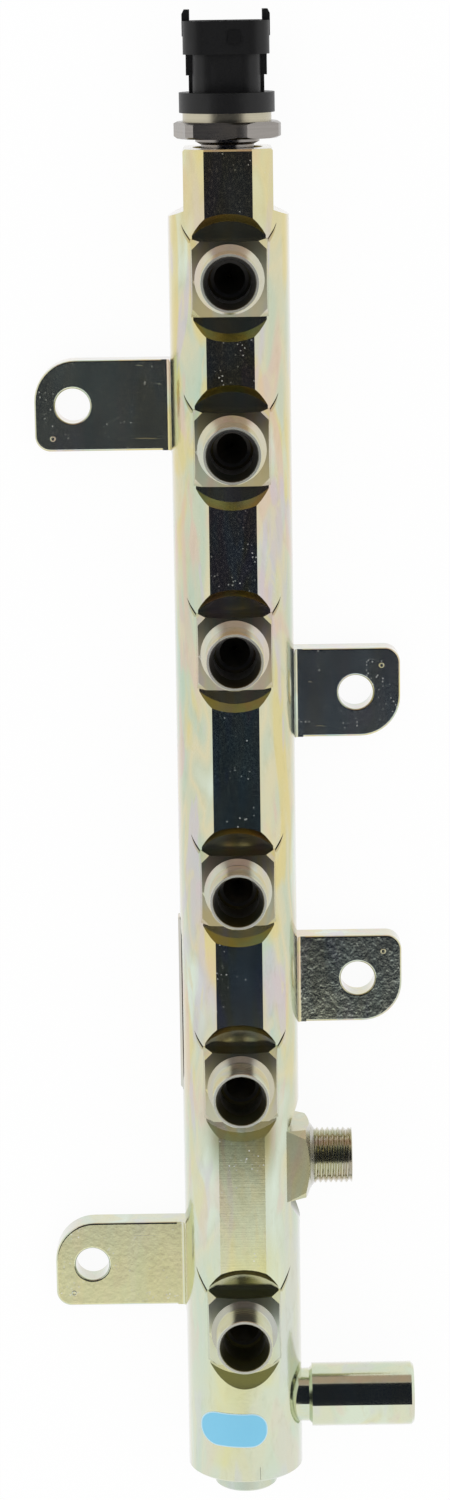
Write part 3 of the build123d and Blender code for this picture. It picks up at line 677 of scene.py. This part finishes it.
def nose_finish(local, toward, tube):
    """The finish of a face at a nose, in that nose's own frame, or None away from it."""
    reach = math.hypot(local[0], local[1])
    if local[2] < NOSE_LOW or reach > POCKET_REACH:
        return None
    inward = local[0] * toward[0] + local[1] * toward[1] < 0
    if reach < MOUTH_RADIUS - SIDE_SLACK or (reach < MOUTH_RADIUS + EDGE_SLACK and inward):
        return BORE
    if local[2] > NOSE_FOOT - HAIR:
        return RIM if local[2] > NOSE_TOP - HAIR and toward[2] > FACING else NOSE
    if local[2] > BLOCK_TOP - HAIR:
        return RING
    if tube:
        return None
    if max(abs(local[0]), abs(local[1])) < BLOCK_HALF + BLOCK_SLACK and \
            local[2] > POCKET_FLOOR + EDGE_SLACK:
        return SHOULDER if toward[2] > SHOULDER_TILT else BLOCK
    if toward[2] > WALL_TILT:
        return POCKET if toward[2] > FLAT else WALL
    return None


def finish_of(c, out):
    """The finish of a face of the rail, by where its middle is and which way it looks."""
    tube = on_tube(c, out)
    if c[1] < 0.0 or (out[1] < -FACING and c[1] < END_SLACK):
        return END
    if abs(c[2] - CROWN_HEIGHT) < NEAR and out[2] > FLAT:
        return CROWN
    if abs(c[2] - EAR_TOP) < EAR_SLACK and out[2] > EAR_FLAT and abs(c[0]) > EAR_START:
        return EAR_MOTTLED if c[0] > 0 and c[1] < MOTTLED_EAR_REACH else EAR
    if c[0] > RAIL_RADIUS + SIDE_SLACK and abs(c[1] - PEG_Y) < PEG_REACH:
        return PEG_SKIN
    if c[0] < -PAD_EDGE and abs(c[1] - PAD_PLACE) < PAD_HALF and c[2] > 0 and not tube:
        return SHOULDER
    finish = COAT
    for place, axis in NOSES:
        turn = nose_frame(axis)
        finish = nose_finish((c - place) @ turn.T, turn @ out, tube) or finish
    return finish


# ------------------------ geometry nodes

def thread_tree():
    """A tapered trapezoid ridge wound about each base vertex, along that vertex's axis."""
    tree = bpy.data.node_groups.new("nose_thread", "GeometryNodeTree")
    face = tree.interface
    face.new_socket("Geometry", in_out="INPUT", socket_type="NodeSocketGeometry")
    kinds = dict.fromkeys(("Pitch", "Root Radius", "Crest Radius", "Start", "Run"), "Float")
    kinds.update(Steps="Int", Material="Material")
    identifiers = {
        name: face.new_socket(name, in_out="INPUT", socket_type="NodeSocket" + kind).identifier
        for name, kind in kinds.items()}
    face.new_socket("Geometry", in_out="OUTPUT", socket_type="NodeSocketGeometry")
    n = Nodes(tree)
    given = n.new("NodeGroupInput").outputs
    spiral = n.new("GeometryNodeCurveSpiral", {
        "Resolution": given["Steps"], "Rotations": n.math("DIVIDE", given["Run"], given["Pitch"]),
        "Start Radius": given["Root Radius"], "End Radius": given["Root Radius"],
        "Height": given["Run"]})
    upright = n.new("GeometryNodeSetCurveNormal", {"Curve": spiral}, mode="Z_UP")
    share = n.new("GeometryNodeSplineParameter").outputs["Factor"]
    fade = n.times(n.smooth(share, *FADE_IN), n.smooth(share, *FADE_OUT))
    fade = n.math("MAXIMUM", fade, THINNEST)
    depth = n.math("SUBTRACT", given["Crest Radius"], given["Root Radius"])
    root = n.times(given["Pitch"], ROOT_SHARE)
    crest = n.times(given["Pitch"], CREST_SHARE)
    sunk = n.times(depth, -SUNK_SHARE)
    profile = n.new("GeometryNodeCurvePrimitiveQuadrilateral", mode="POINTS")
    points = ((root, sunk), (crest, depth), (n.times(crest, -1.0), depth),
              (n.times(root, -1.0), sunk))
    for index, (across, out) in enumerate(points, 1):
        corner = n.new("ShaderNodeCombineXYZ", {"X": n.times(out, -1.0), "Y": across})
        n.set(profile, f"Point {index}", corner)
    ridged = n.new("GeometryNodeCurveToMesh", {
        "Curve": upright, "Profile Curve": profile, "Scale": fade, "Fill Caps": True})
    foot = n.new("ShaderNodeCombineXYZ", {"Z": n.math("ADD", given["Start"], BLOCK_TOP)})
    lifted = n.new("GeometryNodeTransform", {"Geometry": ridged, "Translation": foot})
    axis = n.new("GeometryNodeInputNamedAttribute", {"Name": "axis"}, data_type="FLOAT_VECTOR")
    turned = n.new("FunctionNodeAlignRotationToVector", {"Vector": axis}, axis="Z")
    placed = n.new("GeometryNodeInstanceOnPoints", {
        "Points": given["Geometry"], "Instance": lifted, "Rotation": turned})
    real = n.new("GeometryNodeRealizeInstances", {"Geometry": placed})
    finished = n.new("GeometryNodeSetMaterial", {"Geometry": real, "Material": given["Material"]})
    n.new("NodeGroupOutput", {"Geometry": finished})
    return tree, identifiers


def grown(name, tree, identifiers, base, values):
    """The plain mesh that a node tree makes of a base mesh, with closed and outward faces."""
    carrier = bpy.data.objects.new(name + "_base", base)
    bpy.context.scene.collection.objects.link(carrier)
    modifier = carrier.modifiers.new(name, "NODES")
    modifier.node_group = tree
    for key, value in values.items():
        modifier[identifiers[key]] = value
    evaluated = carrier.evaluated_get(bpy.context.evaluated_depsgraph_get())
    mesh = bpy.data.meshes.new_from_object(evaluated)
    mesh.name = name
    carrier.modifiers.remove(modifier)
    bpy.data.objects.remove(carrier)
    return mesh


# ------------------------ operators

class FUELRAIL_OT_stage(bpy.types.Operator):
    """Builds the floor, the light around the rail and the camera"""
    bl_idname = "fuelrail.stage"
    bl_label = "Stage"

    def execute(self, context):
        look = settings().stage
        scene = context.scene
        scene.view_settings.view_transform = "Standard"
        self.light(scene, look)
        self.floor(settings().finish)
        data = bpy.data.cameras.new("camera")
        data.sensor_fit = "VERTICAL"
        data.sensor_height = 36.0
        data.lens = look.lens
        camera = bpy.data.objects.new("camera", data)
        scene.collection.objects.link(camera)
        forward = Vector((0, -math.sin(look.tilt), -math.cos(look.tilt)))
        up = Vector((0, math.cos(look.tilt), -math.sin(look.tilt)))
        right = Vector((1, 0, 0))
        right, up = (right * math.cos(look.roll) - up * math.sin(look.roll),
                     up * math.cos(look.roll) + right * math.sin(look.roll))
        camera.matrix_world = Matrix((
            (right.x, up.x, -forward.x, look.camera_x),
            (right.y, up.y, -forward.y, look.camera_y),
            (right.z, up.z, -forward.z, look.camera_z),
            (0, 0, 0, 1)))
        scene.camera = camera
        return {"FINISHED"}

    def light(self, scene, look):
        """A white surround; only reflections see its dark field and the dusk at the sensor."""
        world = bpy.data.worlds.new("studio")
        world.use_nodes = True
        scene.world = world
        n = Nodes(world.node_tree)
        where = n.new("ShaderNodeTexCoord").outputs["Generated"]
        axes = n.new("ShaderNodeSeparateXYZ", {"Vector": where}).outputs
        height = n.math("MAXIMUM", axes["Z"], HORIZON)
        across = n.math("ABSOLUTE", n.math("DIVIDE", axes["X"], height))
        along = n.math("DIVIDE", axes["Y"], height)
        wide, low, high = look.shade_width, look.shade_low, look.shade_high
        shade = n.times(n.smooth(across, wide + SIDE_SOFT, wide - SIDE_SOFT),
                        n.smooth(along, low - LOW_SOFT, low + LOW_SOFT),
                        n.smooth(along, high + HIGH_SOFT, high - HIGH_SOFT))
        ahead = n.math("SUBTRACT", axes["Y"], n.math("ABSOLUTE", axes["X"]))
        behind = n.times(n.smooth(along, high - DUSK_START, high + DUSK_STOP),
                         n.smooth(ahead, 0.0, DUSK_SIDE))
        glossy = n.new("ShaderNodeLightPath").outputs["Is Glossy Ray"]
        tone = n.mix(n.times(behind, glossy), (1.0, 1.0, 1.0), look.dusk)
        tone = n.mix(n.times(shade, glossy), tone, tuple(look.shade_level * v for v in SHADE_TINT))
        glow = n.new("ShaderNodeBackground", {"Color": tone, "Strength": 1.0})
        n.new("ShaderNodeOutputWorld", {"Surface": glow})

    def floor(self, finish):
        """A pale floor that shows white and keeps a faint shadow."""
        made, n = material("floor")
        path = n.new("ShaderNodeLightPath").outputs
        seen = n.math("MAXIMUM", path["Is Camera Ray"],
                      n.math("MAXIMUM", path["Is Glossy Ray"], path["Is Transmission Ray"]))
        tone = n.mix(n.noise((90, 90, 90)), finish.floor, (0.98, 0.98, 0.98))
        matte = n.new("ShaderNodeBsdfDiffuse", {"Color": tone})
        glow = n.new("ShaderNodeEmission", {"Color": (1.0, 1.0, 1.0), "Strength": 1.0})
        both = n.new("ShaderNodeMixShader", {"Fac": n.times(seen, FLOOR_GLOW), 1: matte, 2: glow})
        n.new("ShaderNodeOutputMaterial", {"Surface": both})
        centre = centre_of("rail_body")
        height = EAR_TOP - EAR_THICKNESS - FLOOR_GAP
        verts = [(centre.x + x * FLOOR_HALF, centre.y + y * FLOOR_HALF, height)
                 for x, y in ((-1, -1), (1, -1), (1, 1), (-1, 1))]
        floor = mesh_object("floor", verts, [(0, 1, 2, 3)], [made])
        bpy.context.scene.collection.objects.link(floor)


class FUELRAIL_OT_rail(bpy.types.Operator):
    """Builds the forged rail with its finishes"""
    bl_idname = "fuelrail.rail"
    bl_label = "Rail"

    def execute(self, context):
        materials = [  # in the finishes' order
            plated("zinc_coat", speckle=0.15, shaded_flanks=True, grain=0.5),
            plated("zinc_milled_crown", (0.98, 0.97, 0.92), 0.12, speckle=0.8, grain=0.08,
                   milled=0.2, reflection_bands=CROWN_REFLECTION_BANDS),
            plated("zinc_block", (0.86, 0.82, 0.70), 0.20),
            plated("zinc_shoulder", (0.55, 0.52, 0.47), 0.30, grain=0.12, bare=0.2,
                   reflection_bands=SHOULDER_REFLECTION_BANDS),
            plated("zinc_pocket_floor", (0.94, 0.90, 0.82), 0.15, grain=0.08, warm=0.1),
            # Painted shade: the pocket's wall is darkened for the shade in the pocket
            plated("zinc_pocket_wall_shade", (0.42, 0.40, 0.27), 0.22, bare=0.1, reflection_bands=WALL_REFLECTION_BANDS),
            plated("zinc_ring", (0.92, 0.89, 0.86), 0.24, bare=0.5, reflection_bands=RING_REFLECTION_BANDS),
            plated("zinc_nose", (0.92, 0.90, 0.86), 0.18, bare=0.4),
            plated("zinc_rim", (0.95, 0.93, 0.90), 0.40, bare=0.8, dull=0.14),
            # Painted shade: the bore's coat is darkened for the shade inside it
            plated("zinc_bore_painted_shade", (0.21, 0.20, 0.18), 0.38, reflection_bands=BORE_REFLECTION_BANDS),
            plated("zinc_ear_face", (0.98, 0.96, 0.88), 0.17, speckle=0.8, grain=0.30, bare=0.6,
                   reflection_bands=EAR_REFLECTION_BANDS),
            plated("zinc_ear_face_mottled", (0.98, 0.96, 0.84), 0.13, speckle=0.4, grain=0.95,
                   bare=0.6, reflection_bands=EAR_REFLECTION_BANDS),
            plated("zinc_peg", (1.0, 0.99, 0.94), 0.13, grain=0.15, tint=1.4),
            plated("zinc_end", (0.90, 0.92, 0.95), 0.22, grain=0.2)]
        verts, faces, loops = rail_mesh()
        points = np.array(verts)
        slots = [finish_of(points[list(face)].mean(axis=0), np.array(corners).mean(axis=0))
                 for face, corners in zip(faces, loops)]
        rail = mesh_object("rail_body_dressed", verts, faces, materials, slots,
                           [corner for face in loops for corner in face])
        link(rail, ["rail_body"])
        return {"FINISHED"}


class FUELRAIL_OT_threads(bpy.types.Operator):
    """Winds the threads on the six ports and the inlet"""
    bl_idname = "fuelrail.threads"
    bl_label = "Nose Threads"

    def execute(self, context):
        sizes = settings().threads
        made = plated("zinc_thread", (0.88, 0.84, 0.76), 0.18, bare=0.3)
        base = bpy.data.meshes.new("thread_places")
        base.from_pydata([place for place, _ in NOSES], [], [])
        axis = base.attributes.new("axis", "FLOAT_VECTOR", "POINT")
        axis.data.foreach_set("vector", [float(v) for _, toward in NOSES for v in toward])
        tree, identifiers = thread_tree()
        mesh = grown("nose_threads", tree, identifiers, base, {
            "Pitch": sizes.pitch, "Root Radius": sizes.root_radius,
            "Crest Radius": sizes.crest_radius, "Start": sizes.start, "Run": sizes.run,
            "Steps": sizes.steps, "Material": made})
        mesh.set_sharp_from_angle(angle=THREAD_CREASE)
        link(bpy.data.objects.new("nose_threads", mesh))
        return {"FINISHED"}


def ridge(path, ups, outs, inner, outer, heights):
    """Vertices and faces of a low ridge along a path, sunk a little into what it lies on."""
    verts, faces = [], []
    for point, up, out, height in zip(path, ups, outs, heights):
        share = height / max(heights)
        verts += [point - out * inner * share - up * SINK, point + up * height,
                  point + out * outer * share - up * SINK]
    for k in range(len(path) - 1):
        faces += sides(k, k + 1)
    last = 3 * len(path) - 3
    faces += [(2, 1, 0), (last, last + 1, last + 2)]
    return verts, faces


def sides(k, after):
    """The three faces between two of a ridge's triangles."""
    return [(3 * k + i, 3 * k + j, 3 * after + j, 3 * after + i)
            for i, j in ((0, 1), (1, 2), (2, 0))]


def joined(parts):
    """The vertices and faces of several parts as one."""
    verts, faces = [], []
    for more, loops in parts:
        faces += [tuple(i + len(verts) for i in face) for face in loops]
        verts += more
    return verts, faces


def laid(name, shape, made, smooth=True):
    """Links a closed shape that lies on the rail, with its faces turned outwards."""
    obj = mesh_object(name, *shape, [made], smooth=smooth)
    work = bmesh.new()
    work.from_mesh(obj.data)
    bmesh.ops.recalc_face_normals(work, faces=work.faces)
    work.to_mesh(obj.data)
    work.free()
    link(obj)


def skin_normal(x):
    """Which way the rail's round skin looks on its upper side at that x."""
    return Vector((x / RAIL_RADIUS, 0, math.sqrt(1 - (x / RAIL_RADIUS) ** 2)))


class FUELRAIL_OT_creases(bpy.types.Operator):
    """Lays the folds at the sensor-side corners of the ports' blocks and the pad's seam"""
    bl_idname = "fuelrail.creases"
    bl_label = "Forging Creases"

    def execute(self, context):
        folds = [self.fold(side, place, LAST_FOLD_RUN if place == PORT_YS[-1] else FOLD_RUN)
                 for place in PORT_YS for side in (-1, 1)]
        laid("forging_creases", joined(folds),
             plated("zinc_crease", (0.80, 0.74, 0.60), 0.18), smooth=False)
        # Painted shade: the seam's dark tone stands for the shadow at the pad's root
        laid("pad_seam", self.seam(), plated("zinc_pad_seam_shade", (0.13, 0.115, 0.11), 0.35))
        return {"FINISHED"}

    @staticmethod
    def fold(side, place, run):
        """A ridge that bows out along the rail's skin from a corner of a port's block."""
        path, ups, outs, heights = [], [], [], []
        for k in range(FOLD_STEPS + 1):
            t = k / FOLD_STEPS
            x = side * (FOLD_ASIDE + run[0] * t + FOLD_BOW * math.sin(FOLD_TURN * t))
            up = skin_normal(x)
            path.append(Vector((x, place + FOLD_AHEAD + run[1] * t, up.z * RAIL_RADIUS)))
            ups.append(up)
            heights.append(FOLD_HEIGHT * (1.0 - t ** FOLD_FADE) + FOLD_LIP)
        for k, up in enumerate(ups):
            ahead = (path[min(k + 1, FOLD_STEPS)] - path[max(k - 1, 0)]).normalized()
            outs.append(ahead.cross(up).normalized() * side)
        return ridge(path, ups, outs, *FOLD_WIDTHS, heights)

    @staticmethod
    def seam():
        """A ridge along the pad's upper edge that turns down at its ends."""
        path, ups, heights = [], [], []
        for k in range(-SEAM_STEPS, SEAM_STEPS + 1):
            t = abs(k) / SEAM_STEPS
            bend = max(0.0, (t - SEAM_BEND) / (1.0 - SEAM_BEND))
            rise = PAD_TOP * (1.0 - SEAM_DROP * bend) / RAIL_RADIUS
            up = Vector((-math.sqrt(1 - rise ** 2), 0, rise))
            path.append(up * RAIL_RADIUS + Vector((0, PAD_PLACE + k * SEAM_STEP, 0)))
            ups.append(up)
            heights.append(SEAM_LIP + SEAM_RISE * (1.0 - t ** 4))
        return ridge(path, ups, [Vector(SEAM_OUT)] * len(path), *SEAM_WIDTHS, heights)


class FUELRAIL_OT_marks(bpy.types.Operator):
    """Sets the punch marks and scratches on the ears and the scribed line at the closed end"""
    bl_idname = "fuelrail.marks"
    bl_label = "Workshop Marks"

    def execute(self, context):
        marks = [self.ring(x * MM, y * MM) for x, y in PUNCHED]
        marks += [self.scratch(x * MM, y * MM, run * MM) for x, y, run in SCRATCHES]
        laid("ear_marks", joined(marks), plated("zinc_mark", (1.0, 1.0, 0.96), 0.30), smooth=False)
        laid("scribed_line", self.line(), plated("zinc_scribed", (0.25, 0.25, 0.22), 0.4))
        return {"FINISHED"}

    @staticmethod
    def ring(x, y):
        """A raised burr about a punched dot."""
        verts, faces = [], []
        for k in range(PUNCH_STEPS):
            a = 2 * math.pi * k / PUNCH_STEPS
            for reach, height in ((PUNCH_RADIUS - PUNCH_WIDTH, -PUNCH_SINK),
                                  (PUNCH_RADIUS, PUNCH_RISE),
                                  (PUNCH_RADIUS + PUNCH_WIDTH, -PUNCH_SINK)):
                verts.append(Vector((x + reach * math.cos(a), y + reach * math.sin(a),
                                     EAR_TOP + height)))
            faces += sides(k, (k + 1) % PUNCH_STEPS)
        return verts, faces

    @staticmethod
    def scratch(x, y, run):
        """A fine raised scratch across an ear."""
        path = [Vector((x + run * k / LINE_STEPS, y + SCRATCH_WAVE * math.sin(k), EAR_TOP))
                for k in range(LINE_STEPS + 1)]
        return ridge(path, [Vector((0, 0, 1))] * len(path), [Vector((0, 1, 0))] * len(path),
                     SCRATCH_WIDTH, SCRATCH_WIDTH, SCRATCH_HEIGHTS)

    @staticmethod
    def line():
        """The line scribed along the rail's skin."""
        up = skin_normal(SCRIBED_X)
        path = [up * RAIL_RADIUS + Vector((0, SCRIBED_START + SCRIBED_RUN * k / LINE_STEPS, 0))
                for k in range(LINE_STEPS + 1)]
        return ridge(path, [up] * len(path), [Vector((1, 0, 0))] * len(path),
                     SCRIBED_WIDTH, SCRIBED_WIDTH, [SCRIBED_HEIGHT] * len(path))


def dress(nodes, made):
    """Gives CAD nodes that finish."""
    for name in nodes:
        node = frame["nodes"][name]
        node.data.materials.clear()
        node.data.materials.append(made)


def turned_steel(name, tone, roughness):
    """Bare steel with fine turning rings and a brownish tint in places."""
    made, n = material(name)
    rings = n.noise((30, 2600, 30), 3.0, 0.6)
    base = n.mix(n.times(n.smooth(rings, 0.35, 0.7), 0.35), tone, tuple(v * 0.72 for v in tone))
    cloud = n.noise((120, 120, 120))
    base = n.mix(n.times(n.smooth(cloud, 0.5, 0.75), 0.3), base, HEAT_TONE)
    rough = n.math("ADD", roughness, n.times(cloud, 0.1))
    n.surface(Base_Color=base, Metallic=1.0, Roughness=rough, Normal=n.bump(rings, RING_DEPTH))
    return made


class FUELRAIL_OT_orifices(bpy.types.Operator):
    """Finishes the orifices in the ports"""
    bl_idname = "fuelrail.orifices"
    bl_label = "Orifices"

    def execute(self, context):
        dress([f"port_orifice_{n}" for n in range(1, 7)],
              turned_steel("orifice_steel", (0.20, 0.19, 0.17), 0.30))
        return {"FINISHED"}


class FUELRAIL_OT_sensor(bpy.types.Operator):
    """Finishes the pressure sensor's steel and what is inside it"""
    bl_idname = "fuelrail.sensor"
    bl_label = "Pressure Sensor"

    def execute(self, context):
        steel = settings().finish.steel
        dress(["sensor_body"], turned_steel("sensor_steel", steel, 0.20))
        dress(["sensor_sleeve"], turned_steel("sleeve_steel", (0.54, 0.50, 0.38), 0.24))
        dress(["pressure_cell"], turned_steel("cell_steel", (0.55, 0.54, 0.52), 0.25))
        for name, node, tone, rough in (
                ("seal_rubber", "housing_seal", (0.02, 0.02, 0.02), 0.75),
                ("board_green", "circuit_board", (0.02, 0.14, 0.05), 0.35),
                ("carrier_plastic", "board_carrier", (0.55, 0.52, 0.42), 0.5),
                ("chip_plastic", "signal_chip", (0.02, 0.02, 0.022), 0.4)):
            made, n = material(name)
            grain = n.noise((900, 900, 900), 3.0)
            base = n.mix(n.times(grain, 0.3), tone, tuple(v * 1.6 for v in tone))
            n.surface(Base_Color=base, Roughness=rough, Normal=n.bump(grain, MOULD_DEPTH))
            dress([node], made)
        return {"FINISHED"}


class FUELRAIL_OT_connector(bpy.types.Operator):
    """Finishes the connector housing and its contacts"""
    bl_idname = "fuelrail.connector"
    bl_label = "Connector"

    def execute(self, context):
        finish = settings().finish
        made, n = material("moulded_black")
        grain = n.noise((2200, 2200, 2200), 3.0, 0.6)
        wear = n.smooth(n.noise((160, 90, 160), 3.0, 0.6), 0.52, 0.75)
        base = n.mix(n.times(wear, 0.35), finish.plastic, (0.019, 0.019, 0.020))
        n.surface(Base_Color=base, Roughness=n.math("ADD", 0.34, n.times(grain, 0.18)),
                  Specular_IOR_Level=0.35, Normal=n.bump(grain, MOULD_DEPTH))
        dress(["connector_housing"], made)
        made, n = material("brass")
        grain = n.noise((400, 2000, 400))
        base = n.mix(n.times(grain, 0.4), finish.brass, (0.5, 0.36, 0.18))
        n.surface(Base_Color=base, Metallic=1.0, Roughness=0.28, Normal=n.bump(grain, CUT_DEPTH))
        dress([f"{kind}_{index}" for kind in ("terminal", "contact_spring") for index in (1, 2, 3)],
              made)
        return {"FINISHED"}


class FUELRAIL_OT_label(bpy.types.Operator):
    """Finishes the blank label film"""
    bl_idname = "fuelrail.label"
    bl_label = "Label"

    def execute(self, context):
        finish = settings().finish
        made, n = material("label_film")
        low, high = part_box("identification_label")
        middle, half = (low + high) / 2, (high - low) / 2
        place = n.place(move=(-middle.x, -middle.y, 0))
        where = n.new("ShaderNodeSeparateXYZ", {"Vector": place}).outputs
        gaps = [n.math("SUBTRACT", n.math("ABSOLUTE", where[axis]), size - LABEL_CORNER)
                for axis, size in (("X", half.x), ("Y", half.y))]
        squares = [n.math("POWER", n.math("MAXIMUM", gap, 0.0), 2.0) for gap in gaps]
        outside = n.math("SQRT", n.math("ADD", *squares))
        inside = n.math("MINIMUM", n.math("MAXIMUM", *gaps), 0.0)
        depth = n.math("SUBTRACT", n.math("ADD", outside, inside), LABEL_CORNER)
        cloud = n.noise((160, 160, 160), 3.0)
        base = n.mix(n.times(cloud, 0.25), finish.label, (0.26, 0.63, 0.84))
        base = n.mix(n.times(n.smooth(depth, *LABEL_BORDER), 0.8), base, finish.label_edge)
        n.surface(Base_Color=base, Roughness=0.35, Normal=n.bump(cloud, FILM_DEPTH))
        dress(["identification_label"], made)
        return {"FINISHED"}


# ------------------------ panel and run

STEPS = (FUELRAIL_OT_stage, FUELRAIL_OT_rail, FUELRAIL_OT_threads, FUELRAIL_OT_creases,
         FUELRAIL_OT_marks, FUELRAIL_OT_orifices, FUELRAIL_OT_sensor, FUELRAIL_OT_connector,
         FUELRAIL_OT_label)


class FUELRAIL_PT_panel(bpy.types.Panel):
    """Lists the steps of the fuel rail's dressing"""
    bl_idname = "FUELRAIL_PT_panel"
    bl_label = "Fuel Rail"
    bl_space_type = "VIEW_3D"
    bl_region_type = "UI"
    bl_category = "Fuel Rail"

    def draw(self, context):
        for step in STEPS:
            self.layout.operator(step.bl_idname)
        for group in (settings().finish, settings().threads, settings().stage):
            box = self.layout.box()
            for name in group.bl_rna.properties.keys():
                if name not in ("rna_type", "name"):
                    box.prop(group, name)


CLASSES = (RailFinish, RailThreads, RailStage, RailSettings, *STEPS, FUELRAIL_PT_panel)


def register():
    for each in CLASSES:
        bpy.utils.register_class(each)
    bpy.types.Scene.fuel_rail = PointerProperty(type=RailSettings)


def unregister():
    del bpy.types.Scene.fuel_rail
    for each in reversed(CLASSES):
        bpy.utils.unregister_class(each)


def main():
    register()
    for step in STEPS:
        getattr(bpy.ops.fuelrail, step.bl_idname.split(".")[1])()


if __name__ == "__main__":
    main()
